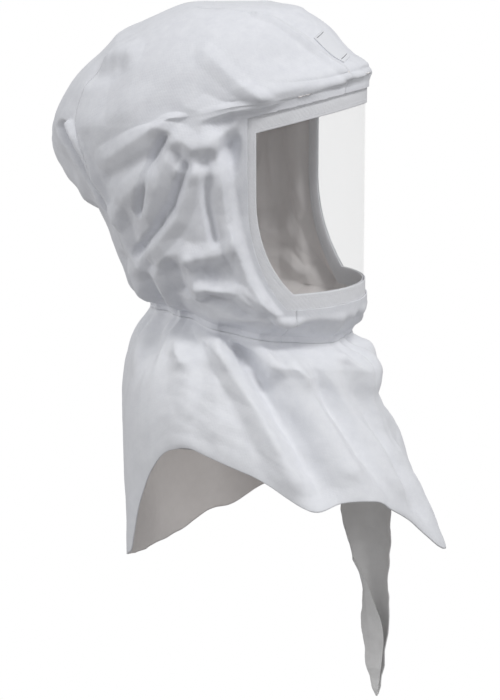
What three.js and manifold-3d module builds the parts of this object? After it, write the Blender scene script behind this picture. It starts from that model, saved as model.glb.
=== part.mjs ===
// Loose-fitting respirator hood of white nonwoven cloth with a clear curved visor.
// Millimetres and degrees. +Z is up, the face looks along -Y, the wearer's left is +X.
// The origin is the inside of the crown, where the hood sits on the head.
import * as THREE from 'three';
import { mergeVertices } from 'three/addons/utils/BufferGeometryUtils.js';
import Module from 'manifold-3d';

const wasm = await Module();
wasm.setup();

// Cloth, tape and clearances
const CLOTH = 1.5;
const SHROUD_CLOTH = 1.2;
const TAPE = 1.0;
const CASING = 2.0;
const LABEL = 1.0;
const GAP = 0.3;
const FACET_SLACK = 0.25;           // what flat facets cut off a round wall

// Visor: a clear sheet bent to an upright cylinder, and the window that it fills
const VISOR_RADIUS = 101;
const VISOR_SHEET = 0.8;
const VISOR_AXIS_Y = -33.6;
const VISOR_SPREAD = 74.5;          // half of the window's angle, seen from above
const VISOR_TUCK = 7;               // how far the sheet reaches into the tape
const WINDOW_BELOW_BRIM = 16;       // the clear area's upper edge below the brim, at the front
const WINDOW_TOP_DROP = 20;         // and how much lower that edge is at the sides
const WINDOW_HEIGHT = 174.5;
const WINDOW_STRAIGHT = 60;         // upright stretch of each side edge
const WINDOW_CORNER = 54;           // angle at which the side edges meet the bottom edge
const TAPE_TOP = 17;
const TAPE_SIDE = 10;
const TAPE_BOTTOM = 18;
const TAPE_LAP = 3;                 // cloth over the tape's outer edge

// Hood
const CHIN_HEIGHT = 50.5;           // from the clear area's lower edge to the neck
const SIDE_REACH = 125;             // from the pole to each side
const BACK_REACH = 169;             // and to the back
const POLE_Y = 15;                  // the upright line that the sections are drawn about
const FOLD_DEPTH = 12;              // the deepest fold
const GATHER_DEPTH = 3;             // ripple where the neck is gathered
const GATHERS = 12;

// Neck casing and shrouds
const CUFF_HEIGHT = 6;
const CASING_HEIGHT = 13;
const CASING_LAP = 4;               // casing inside the hood's cuff
const SHROUD_DROP = 209;            // neck to the cape's point at the front
const SHROUD_REACH = 243;           // from the pole to that point, seen from above
const HANGING_FOLD = 10;            // depth of the deepest fold that hangs from the gathers
const INNER_DROP = 150;
const INNER_REACH = 168;
const TAIL_LENGTH = 390;            // from the neck to the tail's tip
const TAIL_WIDTH = 57;

// What follows from them
const CROWN_TOP = CLOTH;
const TAPE_FACE = VISOR_RADIUS + GAP + TAPE;
const CLOTH_FACE = TAPE_FACE + GAP + FACET_SLACK + CLOTH;
const AXIS_OFFSET = POLE_Y - VISOR_AXIS_Y;
const FRONT_REACH = AXIS_OFFSET + CLOTH_FACE;
const CASING_INSET = CLOTH + GAP;
const INNER_INSET = CASING_INSET + CASING + GAP;

// Columns of the cloth: close together round the face, wider apart behind
const FACE_HALF = 65;
const FACE_COLUMNS = 26;
const REAR_COLUMNS = 22;
const FACE_STEP = 2 * FACE_HALF / FACE_COLUMNS;
const REAR_STEP = (360 - 2 * FACE_HALF) / REAR_COLUMNS;
const BEARINGS = [
  ...Array.from({ length: FACE_COLUMNS }, (_, i) => i * FACE_STEP - FACE_HALF),
  ...Array.from({ length: REAR_COLUMNS }, (_, i) => i * REAR_STEP + FACE_HALF),
];

const radians = THREE.MathUtils.degToRad;
const mix = THREE.MathUtils.lerp;
const ease = (value, from, to) => THREE.MathUtils.smoothstep(value, from, to);
const table = (names, rows) => rows.map(
  row => Object.fromEntries(names.map((name, i) => [name, row[i]])));

// Hood sections from the crown down. Heights are shares of HOOD_HEIGHT, reaches are shares of
// FRONT_REACH (front and corner), SIDE_REACH (side) and BACK_REACH (rear and back).
const SECTIONS = table(
  ['zFront', 'zSide', 'zBack', 'front', 'corner', 'side', 'rear', 'back'], [
    [0.000, 0.000, 0.000, 0.000, 0.000, 0.000, 0.000, 0.000],
    [0.006, 0.012, 0.006, 0.491, 0.386, 0.368, 0.201, 0.166],
    [0.031, 0.050, 0.047, 0.616, 0.544, 0.576, 0.385, 0.361],
    [0.075, 0.106, 0.091, 0.747, 0.675, 0.736, 0.515, 0.515],
    [0.131, 0.172, 0.144, 0.858, 0.773, 0.864, 0.627, 0.651],
    [0.175, 0.238, 0.225, 0.969, 0.858, 0.936, 0.740, 0.817],
    [0.203, 0.284, 0.313, 1.028, 0.904, 0.968, 0.805, 0.947],
    [0.228, 0.313, 0.369, 1.015, 0.897, 0.984, 0.828, 0.994],
    [0.247, 0.334, 0.413, 1.002, 0.878, 0.992, 0.828, 1.000],
    [0.313, 0.394, 0.463, 1.002, 0.871, 1.000, 0.817, 0.976],
    [0.406, 0.469, 0.525, 1.002, 0.871, 1.000, 0.775, 0.893],
    [0.500, 0.556, 0.594, 1.002, 0.871, 0.976, 0.722, 0.763],
    [0.594, 0.641, 0.663, 1.002, 0.871, 0.944, 0.669, 0.651],
    [0.688, 0.713, 0.725, 1.002, 0.871, 0.904, 0.633, 0.598],
    [0.766, 0.775, 0.781, 1.002, 0.871, 0.864, 0.598, 0.556],
    [0.838, 0.825, 0.825, 1.002, 0.871, 0.824, 0.562, 0.521],
    [0.894, 0.863, 0.856, 1.002, 0.858, 0.776, 0.533, 0.491],
    [0.938, 0.894, 0.884, 0.982, 0.819, 0.704, 0.491, 0.456],
    [0.975, 0.916, 0.903, 0.943, 0.760, 0.616, 0.438, 0.408],
    [0.997, 0.931, 0.913, 0.891, 0.701, 0.536, 0.391, 0.355],
  ]);
const NECK_LEVEL = SECTIONS.length - 1;
const BRIM_LEVEL = 8;

// Crown to the front of the neck, and the clear area's upper edge below the crown
const HOOD_HEIGHT = (WINDOW_BELOW_BRIM + WINDOW_HEIGHT + CHIN_HEIGHT)
  / (1 - SECTIONS[BRIM_LEVEL].zFront);
const WINDOW_TOP = HOOD_HEIGHT * SECTIONS[BRIM_LEVEL].zFront + WINDOW_BELOW_BRIM;

// Folds in the hood's cloth: a line from one bearing and level to another, its half-width as a
// share of FOLD_WIDTH, and its height as a share of FOLD_DEPTH, below zero for a valley.
const FOLD_WIDTH = 12;
const HOOD_FOLDS = table(
  ['bearing', 'level', 'toBearing', 'toLevel', 'width', 'height'], [
    [-142, 6.4, -132, 11.2, 1.00, -1.00],
    [-150, 7.0, -140, 11.0, 1.00, 0.45],
    [-95, 8.7, -108, 11.4, 0.75, -0.50],
    [-99, 8.0, -126, 10.0, 0.75, 0.50],
    [-82, 10.0, -89, 11.2, 0.75, -0.40],
    [-94, 10.6, -115, 13.2, 0.85, -0.60],
    [-81, 10.1, -97, 12.5, 0.75, 0.50],
    [-77, 9.2, -97, 8.1, 0.70, 0.45],
    [-64, 9.4, -61, 11.0, 0.85, -0.75],
    [-71, 9.6, -61, 13.1, 0.60, -0.40],
    [-59, 12.6, -42, 15.7, 0.60, 0.35],
    [-70, 4.0, -52, 7.2, 0.90, -0.35],
    [-75, 4.3, -59, 7.0, 0.80, 0.30],
    [-143, 4.8, -124, 4.2, 0.80, -0.30],
    [-163, 3.3, -129, 3.7, 0.80, 0.25],
    [-83, 13.4, -79, 15.6, 0.70, 0.60],
    [-100, 14.0, -95, 17.0, 0.80, -0.50],
    [-68, 13.8, -60, 16.0, 0.80, -0.45],
    [-122, 14.5, -118, 17.0, 0.90, 0.50],
    [-160, 13.0, -165, 16.5, 1.00, -0.45],
  ]);

// The hidden side has the same folds, shallower and moved a little
const LEFT_SHARE = 0.7;
const LEFT_SHIFT = 5;
const LEFT_FOLDS = HOOD_FOLDS.map(fold => ({
  ...fold,
  bearing: LEFT_SHIFT - fold.bearing,
  toBearing: LEFT_SHIFT - fold.toBearing,
  height: fold.height * LEFT_SHARE,
}));

// Seams as bearing and level on the right-hand side; the left-hand one mirrors it
const PANEL_SEAM = table(['bearing', 'level'], [
  [-15, 9.4], [-15, 8.0], [-14, 6.0], [-18, 4.2], [-24, 3.1], [-32, 2.0], [-60, 1.05], [-95, 0.95],
  [-125, 1.6], [-140, 3.3], [-144, 5.0], [-142, 6.6], [-137, 8.3], [-134, 10.2], [-131, 12.2],
  [-128, 15.0], [-127, 17.5], [-127, 20.0],
]);
const CHIN_SEAM = table(['bearing', 'level'], [[-37, 12.5], [-37, 15.5], [-37, 18.0], [-37, 20.0]]);

// Brow label: bearing and level of its four corners
const LABEL_CORNERS = table(['bearing', 'level'], [[-17, 3.3], [-6, 3.0], [-1, 4.4], [-12, 4.7]]);

// Hem of each shroud: bearing, reach from the pole as a share of the shroud's reach, and drop
// from the neck as a share of its drop
const OUTER_HEM = table(['bearing', 'reach', 'drop'], [
  [-180, 0.325, 1.140], [-162, 0.345, 1.124], [-145, 0.385, 1.090], [-128, 0.428, 1.045],
  [-113, 0.505, 0.981], [-108, 0.530, 0.789], [-101, 0.547, 0.598], [-91, 0.577, 0.445],
  [-81, 0.616, 0.402], [-69, 0.684, 0.459], [-58, 0.800, 0.507], [-47, 0.926, 0.646],
  [-38, 0.938, 0.608], [-29, 0.921, 0.627], [-15, 0.919, 0.775], [-2, 1.000, 1.000],
  [10, 0.920, 0.880], [22, 0.825, 0.745], [34, 0.800, 0.675], [47, 0.830, 0.670],
  [60, 0.780, 0.732], [75, 0.720, 0.861], [93, 0.664, 0.981], [103, 0.580, 1.067],
  [113, 0.510, 1.060], [128, 0.473, 1.150], [145, 0.383, 1.155], [162, 0.350, 1.150],
]);
const INNER_HEM = table(['bearing', 'reach', 'drop'], [
  [-180, 0.43, 0.77], [-145, 0.50, 0.77], [-113, 0.66, 0.72], [-95, 0.78, 0.64], [-81, 0.83, 0.62],
  [-69, 0.88, 0.66], [-55, 0.95, 0.73], [-35, 1.00, 0.82], [-10, 1.00, 0.93], [12, 0.98, 0.97],
  [36, 0.95, 0.97], [60, 0.90, 0.90], [90, 0.80, 0.85], [120, 0.64, 0.82], [150, 0.48, 0.79],
]);

// How the cloth spreads from the neck to the hem, as a share of that spread
const OUTER_FLARE = table(['down', 'front', 'side', 'back'], [
  [0.00, 0.00, 0.00, 0.00], [0.02, 0.00, 0.00, 0.00], [0.05, 0.15, 0.11, 0.30],
  [0.12, 0.33, 0.33, 0.90], [0.20, 0.34, 0.50, 1.20], [0.30, 0.32, 0.63, 1.32],
  [0.42, 0.41, 0.75, 1.32], [0.54, 0.53, 0.84, 1.26], [0.67, 0.68, 0.91, 1.18],
  [0.80, 0.83, 0.96, 1.06], [0.91, 0.93, 0.99, 1.02], [1.00, 1.00, 1.00, 1.00],
]);
const INNER_FLARE = table(['down', 'front', 'side', 'back'], [
  [0.00, 0.00, 0.00, 0.00], [0.12, 0.00, 0.00, 0.00], [0.34, 0.30, 0.40, 0.55], [0.66, 0.70, 0.78, 0.90],
  [1.00, 1.00, 1.00, 1.00],
]);

// Folds that hang from the gathers: bearing and share of the drop at each end, half-width in
// degrees, and height as a share of HANGING_FOLD
const SHROUD_FOLDS = table(['bearing', 'down', 'toBearing', 'toDown', 'width', 'height'], [
  [-88, 0.05, -96, 0.95, 7, 0.85],
  [-76, 0.05, -84, 0.90, 5, -0.70],
  [-66, 0.05, -58, 0.95, 6, 0.70],
  [-56, 0.10, -48, 0.80, 4, -0.55],
  [-46, 0.05, -36, 0.95, 5, 0.90],
  [-34, 0.15, -28, 0.80, 4, -0.80],
  [-24, 0.08, -17, 0.95, 5, 0.65],
  [-12, 0.15, -8, 0.80, 4, -0.60],
  [-1, 0.20, -2, 1.00, 4, 0.60],
  [12, 0.10, 16, 0.90, 5, -0.70],
  [26, 0.05, 32, 0.95, 6, 0.80],
  [42, 0.10, 46, 0.85, 5, -0.60],
  [58, 0.05, 64, 0.95, 7, 0.75],
  [78, 0.10, 82, 0.85, 6, -0.60],
  [98, 0.10, 101, 0.95, 7, 0.80],
  [118, 0.15, 120, 0.80, 6, -0.50],
  [140, 0.10, 142, 0.95, 8, 0.65],
  [164, 0.15, 163, 0.90, 8, -0.60],
  [-168, 0.10, -166, 0.95, 8, 0.60],
  [-148, 0.15, -146, 0.85, 7, -0.60],
  [-128, 0.10, -124, 0.95, 7, 0.40],
  [-110, 0.15, -110, 0.75, 5, -0.50],
]);

// Tail of the inner shroud, from the hem to the tip. Heights are shares of TAIL_LENGTH, widths
// of TAIL_WIDTH, forward and left of its line shares of TAIL_WIDTH, and curl is in degrees.
const TAIL_X = 60;
const TAIL_Y = -125;
const TAIL_FROM = 14;
const TAIL_TO = 35;
const TAIL = table(['down', 'forward', 'left', 'width', 'curl', 'turn'], [
  [0.35, 0.00, 0.00, 1.00, 50, 0], [0.375, 0.00, 0.00, 1.00, 50, 0], [0.43, 0.00, 0.00, 1.00, 90, 4],
  [0.50, 0.01, 0.00, 0.97, 120, 8], [0.58, 0.08, 0.00, 0.80, 150, 14], [0.65, 0.15, 0.02, 0.60, 170, 22],
  [0.71, 0.20, 0.04, 0.46, 170, 32], [0.78, 0.20, 0.04, 0.52, 160, 44], [0.85, 0.20, 0.04, 0.44, 150, 56],
  [0.92, 0.21, 0.02, 0.33, 140, 66], [0.97, 0.24, 0.02, 0.16, 120, 74], [1.00, 0.26, 0.03, 0.06, 100, 78],
]);
const TAIL_COLUMNS = 7;

// Smooth curve through evenly numbered values
function through(values, position) {
  const last = values.length - 1;
  const i = Math.min(Math.max(Math.floor(position), 0), last - 1);
  const at = k => values[Math.min(Math.max(k, 0), last)];
  const [a, b, c, d] = [at(i - 1), at(i), at(i + 1), at(i + 2)];
  const t = position - i;
  return 0.5 * (2 * b + (c - a) * t + (2 * a - 5 * b + 4 * c - d) * t ** 2
    + (3 * b - a - 3 * c + d) * t ** 3);
}

// Straight blend between the rows of a table at a value of its first column
function rowAt(rows, key, value) {
  let i = 0;
  while (i < rows.length - 2 && rows[i + 1][key] <= value) i += 1;
  const share = THREE.MathUtils.clamp((value - rows[i][key]) / (rows[i + 1][key] - rows[i][key]), 0, 1);
  return Object.fromEntries(
    Object.keys(rows[i]).map(name => [name, mix(rows[i][name], rows[i + 1][name], share)]));
}

const wrapped = bearing => THREE.MathUtils.euclideanModulo(bearing + 180, 360) - 180;

// Value all round from its front, side and back values
function round(front, side, back, bearing) {
  const c = Math.cos(radians(bearing));
  return side + (front - back) / 2 * c + ((front + back) / 2 - side) * c * c;
}

const fromPole = (bearing, reach, z) => new THREE.Vector3(
  reach * Math.sin(radians(bearing)), POLE_Y - reach * Math.cos(radians(bearing)), z);

// Height of the clear area's upper edge, which slopes down from the front to the sides
const WINDOW_FRONT_Y = VISOR_AXIS_Y - VISOR_RADIUS;
const WINDOW_SIDE_Y = VISOR_AXIS_Y - VISOR_RADIUS * Math.cos(radians(VISOR_SPREAD));
const windowTop = y => CROWN_TOP - WINDOW_TOP
  - WINDOW_TOP_DROP * (y - WINDOW_FRONT_Y) / (WINDOW_SIDE_Y - WINDOW_FRONT_Y);
const WINDOW_BOTTOM = CROWN_TOP - WINDOW_TOP - WINDOW_HEIGHT;

// Share of the cylinder in the cloth round the face: whole at the tape, none past the brim,
// the chin and the cheeks. Further out the cloth is only kept from dipping inside it.
const BRIM_FADE = [2, 9];
const CHIN_FADE = [3, 16];
const GUARD_FADE = [14, 34];
const CHEEK_FADE = [58, 80];
function faceShare(bearing, point, brim = BRIM_FADE, chin = CHIN_FADE) {
  const above = point.z - windowTop(point.y) - TAPE_TOP;
  const below = WINDOW_BOTTOM - TAPE_BOTTOM - point.z;
  const aside = Math.abs(wrapped(bearing));
  return (1 - ease(above, ...brim)) * (1 - ease(below, ...chin))
    * (1 - ease(aside, ...CHEEK_FADE));
}

// Ripple of the gathered neck
const GATHER_FADE = [15.5, 18.5];
const gather = (bearing, level) => GATHER_DEPTH * ease(level, ...GATHER_FADE)
  * Math.cos(radians(GATHERS * bearing));

// The hood's outer face without folds. Past the last section it runs straight down as a cuff.
function smoothHood(bearing, level) {
  const row = Math.min(level, NECK_LEVEL);
  const column = name => through(SECTIONS.map(section => section[name]), row);
  const z = CROWN_TOP - HOOD_HEIGHT
    * round(column('zFront'), column('zSide'), column('zBack'), bearing);
  const [front, corner] = [column('front') * FRONT_REACH, column('corner') * FRONT_REACH];
  const [side, rear] = [column('side') * SIDE_REACH, column('rear') * BACK_REACH];
  const back = column('back') * BACK_REACH;
  const ring = [corner, front, corner, side, rear, back, rear];
  const drawn = through(ring, Math.abs(wrapped(bearing)) / 45 + 1);
  const across = AXIS_OFFSET * Math.sin(radians(bearing));
  const cylinder = AXIS_OFFSET * Math.cos(radians(bearing))
    + Math.sqrt(Math.max(CLOTH_FACE ** 2 - across ** 2, 0));
  const place = fromPole(bearing, drawn, z);
  const guard = faceShare(bearing, place, GUARD_FADE, CHIN_FADE);
  const share = faceShare(bearing, place);
  const reach = mix(drawn, Math.max(drawn, cylinder), guard);
  const cuff = Math.max(level - NECK_LEVEL, 0) * CUFF_HEIGHT;
  const ripple = gather(bearing, level) * (1 - share);
  return fromPole(bearing, mix(reach, cylinder, share) - ripple, z - cuff);
}

// Height of the folds at a place, each one a rounded ridge or valley along its line
const DEGREE_RUN = 1.9;             // about the length of one degree of bearing on the cloth
const LEVEL_RUN = 18;               // and of one level
function foldHeight(bearing, level) {
  const place = new THREE.Vector2(wrapped(bearing) * DEGREE_RUN, level * LEVEL_RUN);
  let height = 0;
  for (const fold of [...HOOD_FOLDS, ...LEFT_FOLDS]) {
    const from = new THREE.Vector2(fold.bearing * DEGREE_RUN, fold.level * LEVEL_RUN);
    const along = new THREE.Vector2(fold.toBearing * DEGREE_RUN, fold.toLevel * LEVEL_RUN).sub(from);
    const share = THREE.MathUtils.clamp(place.clone().sub(from).dot(along) / along.lengthSq(), 0, 1);
    const away = place.distanceTo(from.addScaledVector(along, share)) / (fold.width * FOLD_WIDTH);
    height += fold.height * FOLD_DEPTH * Math.exp(-away * away);
  }
  return height;
}

// Outward direction of a surface, from short steps along it
const STEP = 0.01;
const POINT = 1e-6;
function outward(surface, bearing, level) {
  const around = surface(bearing + 1, level).sub(surface(bearing - 1, level));
  if (around.length() < POINT) return new THREE.Vector3(0, 0, 1);
  const down = surface(bearing, level + STEP).sub(surface(bearing, level - STEP));
  return down.cross(around).normalize();
}

function hood(bearing, level) {
  const calm = 1 - ease(level, NECK_LEVEL - 2, NECK_LEVEL);
  const face = 1 - faceShare(bearing, smoothHood(bearing, level));
  return smoothHood(bearing, level)
    .addScaledVector(outward(smoothHood, bearing, level), foldHeight(bearing, level) * calm * face);
}

// Mesh and solid helpers
function meshOf(points, triangles) {
  const geometry = new THREE.BufferGeometry();
  geometry.setAttribute('position', new THREE.Float32BufferAttribute(points.flatMap(p => p.toArray()), 3));
  geometry.setIndex(triangles);
  return geometry;
}

function solidOf(geometry) {
  const bare = geometry.clone();
  bare.deleteAttribute('normal');
  bare.deleteAttribute('uv');
  const merged = mergeVertices(bare, 1e-4);
  const index = merged.index.array;
  const kept = [];
  for (let i = 0; i < index.length; i += 3) {
    const [a, b, c] = index.slice(i, i + 3);
    if (a !== b && b !== c && c !== a) kept.push(a, b, c);
  }
  return new wasm.Manifold(new wasm.Mesh({
    numProp: 3,
    vertProperties: merged.attributes.position.array,
    triVerts: new Uint32Array(kept),
  }));
}

function geometryOf(solid) {
  const mesh = solid.getMesh();
  const geometry = new THREE.BufferGeometry();
  geometry.setAttribute('position', new THREE.BufferAttribute(mesh.vertProperties, 3));
  geometry.setIndex(new THREE.BufferAttribute(mesh.triVerts, 1));
  return geometry;
}

// Closed wall between two grids of points, row by row, outer face first. Rows that go all
// round are joined to themselves; open edges get a rim.
function wall(outer, inner, allRound) {
  const rows = outer.length;
  const columns = outer[0].length;
  const points = [...outer.flat(), ...inner.flat()];
  const at = (layer, i, j) => layer * rows * columns + i * columns + j % columns;
  const triangles = [];
  const quad = (a, b, c, d) => triangles.push(a, b, c, a, c, d);
  const spans = allRound ? columns : columns - 1;
  for (let i = 0; i < rows - 1; i += 1) {
    for (let j = 0; j < spans; j += 1) {
      quad(at(0, i, j), at(0, i + 1, j), at(0, i + 1, j + 1), at(0, i, j + 1));
      quad(at(1, i, j), at(1, i, j + 1), at(1, i + 1, j + 1), at(1, i + 1, j));
    }
  }
  for (let j = 0; j < spans; j += 1) {
    quad(at(0, 0, j), at(0, 0, j + 1), at(1, 0, j + 1), at(1, 0, j));
    quad(at(0, rows - 1, j), at(1, rows - 1, j), at(1, rows - 1, j + 1), at(0, rows - 1, j + 1));
  }
  if (!allRound) {
    const last = columns - 1;
    for (let i = 0; i < rows - 1; i += 1) {
      quad(at(0, i, 0), at(1, i, 0), at(1, i + 1, 0), at(0, i + 1, 0));
      quad(at(0, i, last), at(0, i + 1, last), at(1, i + 1, last), at(1, i, last));
    }
  }
  return meshOf(points, triangles);
}

// Wall of even thickness inside a surface
function shell(surface, bearings, levels, thickness, allRound = true) {
  const outer = levels.map(level => bearings.map(bearing => surface(bearing, level)));
  const inner = levels.map((level, i) => bearings.map((bearing, j) => outer[i][j].clone()
    .addScaledVector(outward(surface, bearing, level), -thickness)));
  return wall(outer, inner, allRound);
}

// Thin blade that stands in a seam and parts the cloth on its two sides
const BLADE_REACH = 14;
const BLADE_OVERRUN = 12;
function blade(seam, side) {
  const path = seam.map(stop => smoothHood(side * stop.bearing, stop.level));
  const normals = seam.map(stop => outward(smoothHood, side * stop.bearing, stop.level));
  const last = path.length - 1;
  path[0].addScaledVector(path[0].clone().sub(path[1]).normalize(), BLADE_OVERRUN);
  path[last].addScaledVector(path[last].clone().sub(path[last - 1]).normalize(), BLADE_OVERRUN);
  const faces = [[], []];
  path.forEach((point, i) => {
    const ahead = path[Math.min(i + 1, last)].clone().sub(path[Math.max(i - 1, 0)]);
    const across = ahead.cross(normals[i]).normalize().multiplyScalar(GAP / 2);
    for (const reach of [BLADE_REACH, -BLADE_REACH]) {
      const edge = point.clone().addScaledVector(normals[i], reach);
      faces[0].push(edge.clone().add(across));
      faces[1].push(edge.clone().sub(across));
    }
  });
  const rows = face => path.map((_, i) => [face[2 * i], face[2 * i + 1]]);
  const [one, other] = side > 0 ? [rows(faces[0]), rows(faces[1])] : [rows(faces[1]), rows(faces[0])];
  const solid = solidOf(wall(one, other, false));
  return solid.volume() > 0 ? solid : solidOf(wall(other, one, false));
}

// Outline of the window seen from the side, grown by so much at its top, side and bottom
const PRISM_HALF = 200;
const OUTLINE_FRONT = 60;
const OUTLINE_STEPS = 7;
function windowPrism(top, side, bottom) {
  const frontY = WINDOW_FRONT_Y - OUTLINE_FRONT;
  const sideY = WINDOW_SIDE_Y + side;
  const bottomZ = WINDOW_BOTTOM - bottom;
  const bendZ = windowTop(WINDOW_SIDE_Y) - WINDOW_STRAIGHT;
  const cornerY = VISOR_AXIS_Y - VISOR_RADIUS * Math.cos(radians(WINDOW_CORNER)) + side / 2;
  const pullZ = mix(bendZ, bottomZ, 0.6);
  const outline = new THREE.Shape();
  outline.moveTo(frontY, windowTop(frontY) + top);
  outline.lineTo(frontY, bottomZ);
  outline.lineTo(cornerY, bottomZ);
  outline.quadraticCurveTo(sideY, pullZ, sideY, bendZ);
  outline.lineTo(sideY, windowTop(WINDOW_SIDE_Y) + top);
  const prism = new THREE.ExtrudeGeometry(outline,
    { depth: 2 * PRISM_HALF, bevelEnabled: false, curveSegments: OUTLINE_STEPS });
  prism.translate(0, 0, -PRISM_HALF);
  const axes = new THREE.Matrix4().makeBasis(
    new THREE.Vector3(0, 1, 0), new THREE.Vector3(0, 0, 1), new THREE.Vector3(1, 0, 0));
  return solidOf(prism.applyMatrix4(axes));
}

// Upright curved wall about the visor's axis, between two radii
const FACE_ARC = 88;
const ARC_STEPS = 18;
function curvedWall(inside, outside) {
  const sector = new THREE.Shape();
  const [start, end] = [radians(-90 - FACE_ARC), radians(-90 + FACE_ARC)];
  sector.absarc(0, VISOR_AXIS_Y, outside, start, end, false);
  sector.absarc(0, VISOR_AXIS_Y, inside, end, start, true);
  const height = WINDOW_HEIGHT + 2 * (TAPE_TOP + TAPE_BOTTOM);
  const geometry = new THREE.ExtrudeGeometry(sector,
    { depth: height, bevelEnabled: false, curveSegments: ARC_STEPS });
  geometry.translate(0, 0, WINDOW_BOTTOM - 2 * TAPE_BOTTOM);
  return solidOf(geometry);
}

// The neck line: the cuff's lower edge, and a band's face set in from it
function neck(bearing, inset, lower) {
  const edge = smoothHood(bearing, NECK_LEVEL + 0.5);
  const around = smoothHood(bearing + 1, NECK_LEVEL + 0.5).sub(smoothHood(bearing - 1, NECK_LEVEL + 0.5));
  const normal = new THREE.Vector3(around.y, -around.x, 0).normalize();
  edge.z = smoothHood(bearing, NECK_LEVEL + 1).z - lower;
  return edge.addScaledVector(normal, -inset);
}

const hemAt = (hem, bearing) => {
  const turn = wrapped(bearing);
  const before = hem.filter(stop => stop.bearing <= turn).pop() ?? hem[hem.length - 1];
  const after = hem.find(stop => stop.bearing > turn) ?? { ...hem[0], bearing: hem[0].bearing + 360 };
  const share = ease(turn, before.bearing, after.bearing);
  const straight = (turn - before.bearing) / (after.bearing - before.bearing);
  return {
    reach: mix(before.reach, after.reach, (share + straight) / 2),
    drop: mix(before.drop, after.drop, (share + straight) / 2),
  };
};

// A shroud's outer face from the neck, down 0, to the hem, down 1
function shroud(bearing, down, form) {
  const top = neck(bearing, form.inset, form.start);
  const front = neck(0, form.inset, form.start).z;
  const hem = hemAt(form.hem, bearing);
  const hemZ = front - hem.drop * form.drop;
  const spread = rowAt(form.flare, 'down', down);
  const flare = round(spread.front, spread.side, spread.back, bearing);
  const neckReach = Math.hypot(top.x, top.y - POLE_Y);
  const out = flare * (hem.reach * form.reach - neckReach)
    + form.folds * shroudFold(bearing, down, form.straight);
  top.z = mix(top.z, hemZ, down);
  return top.add(new THREE.Vector3(out * Math.sin(radians(bearing)), -out * Math.cos(radians(bearing)), 0));
}

// The folds grow below the stretch that lies straight against the casing
const FOLD_GROWTH = 0.33;
function shroudFold(bearing, down, straight) {
  let height = 0;
  for (const fold of SHROUD_FOLDS) {
    const run = (down - fold.down) / (fold.toDown - fold.down);
    const line = mix(fold.bearing, fold.toBearing, THREE.MathUtils.clamp(run, 0, 1));
    const away = wrapped(bearing - line) / fold.width;
    height += fold.height * HANGING_FOLD * Math.exp(-away * away);
  }
  return height * ease(down, straight, straight + FOLD_GROWTH);
}

const OUTER = {
  inset: CLOTH - SHROUD_CLOTH, start: GAP, hem: OUTER_HEM, drop: SHROUD_DROP, reach: SHROUD_REACH,
  flare: OUTER_FLARE, folds: 1, straight: 0.02,
};
const INNER = {
  inset: INNER_INSET, start: -CUFF_HEIGHT / 2, hem: INNER_HEM, drop: INNER_DROP, reach: INNER_REACH,
  flare: INNER_FLARE, folds: 0.4, straight: 0.12,
};

// Tail: a strip that leaves the inner shroud from inside its wall and curls in as it hangs
const TAIL_SINK = 2.2 * SHROUD_CLOTH;
const TAIL_RISE = 0.07;             // share of the shroud's drop that the tail's top overlaps
function tailPoint(across, down) {
  const row = rowAt(TAIL, 'down', down);
  const bearing = mix(TAIL_FROM, TAIL_TO, (across + 1) / 2);
  const above = 1 - THREE.MathUtils.clamp((down - TAIL[0].down) / (TAIL[1].down - TAIL[0].down), 0, 1);
  const onShroud = shroud(bearing, 1 - above * TAIL_RISE, INNER);
  onShroud.sub(fromPole(bearing, above * TAIL_SINK, 0)).add(fromPole(bearing, 0, 0));
  const z = neck(0, 0, 0).z - row.down * TAIL_LENGTH;
  const half = row.width * TAIL_WIDTH / 2;
  const curl = radians(row.curl);
  const bend = across * curl / 2;
  const wide = Math.sin(Math.min(curl / 2, Math.PI / 2));
  const along = half * Math.sin(bend) / wide;
  const deep = half * (Math.cos(bend) - Math.cos(curl / 2)) / wide;
  const turn = radians(row.turn);
  const hanging = new THREE.Vector3(
    TAIL_X + row.left * TAIL_WIDTH + deep * Math.cos(turn) - along * Math.sin(turn) * 0.5,
    TAIL_Y - row.forward * TAIL_WIDTH + along * Math.cos(turn * 0.5) + deep * Math.sin(turn),
    z);
  return onShroud.lerp(hanging, ease(down, TAIL[1].down, TAIL[3].down));
}

// Level at which the cloth at a bearing comes down to a height
const HALVINGS = 20;
function levelAt(bearing, z) {
  let [low, high] = [0, NECK_LEVEL];
  for (let i = 0; i < HALVINGS; i += 1) {
    const middle = (low + high) / 2;
    if (smoothHood(bearing, middle).z > z) low = middle;
    else high = middle;
  }
  return low;
}

// Pieces. Two rows of the hood's cloth lie just below the tape, so that no facet crosses it.
function cutHood() {
  const underTape = [0, CHIN_SEAM[0].bearing].map(
    bearing => levelAt(bearing, WINDOW_BOTTOM - TAPE_BOTTOM - CHIN_FADE[0]));
  const levels = [0, 1, 2, 3, 4, 5, 6, 7, 8, 9, 10, 10.5, 11, 12, 13, 14, 15, ...underTape, 17, 18, 19, 20];
  const whole = solidOf(shell(hood, BEARINGS, levels, CLOTH));
  const window = windowPrism(TAPE_TOP - TAPE_LAP, TAPE_SIDE - TAPE_LAP, TAPE_BOTTOM - TAPE_LAP);
  const open = whole.subtract(window);
  const blades = [blade(PANEL_SEAM, 1), blade(PANEL_SEAM, -1), blade(CHIN_SEAM, 1), blade(CHIN_SEAM, -1)];
  return blades.reduce((solid, cutter) => solid.subtract(cutter), open).decompose();
}

function visorBinding() {
  const band = curvedWall(VISOR_RADIUS - VISOR_SHEET - GAP - TAPE, TAPE_FACE)
    .intersect(windowPrism(TAPE_TOP, TAPE_SIDE, TAPE_BOTTOM))
    .subtract(windowPrism(0, 0, 0));
  const reach = VISOR_TUCK + GAP;
  const channel = curvedWall(VISOR_RADIUS - VISOR_SHEET - GAP, VISOR_RADIUS + GAP)
    .intersect(windowPrism(reach, reach, reach));
  return band.subtract(channel);
}

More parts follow.
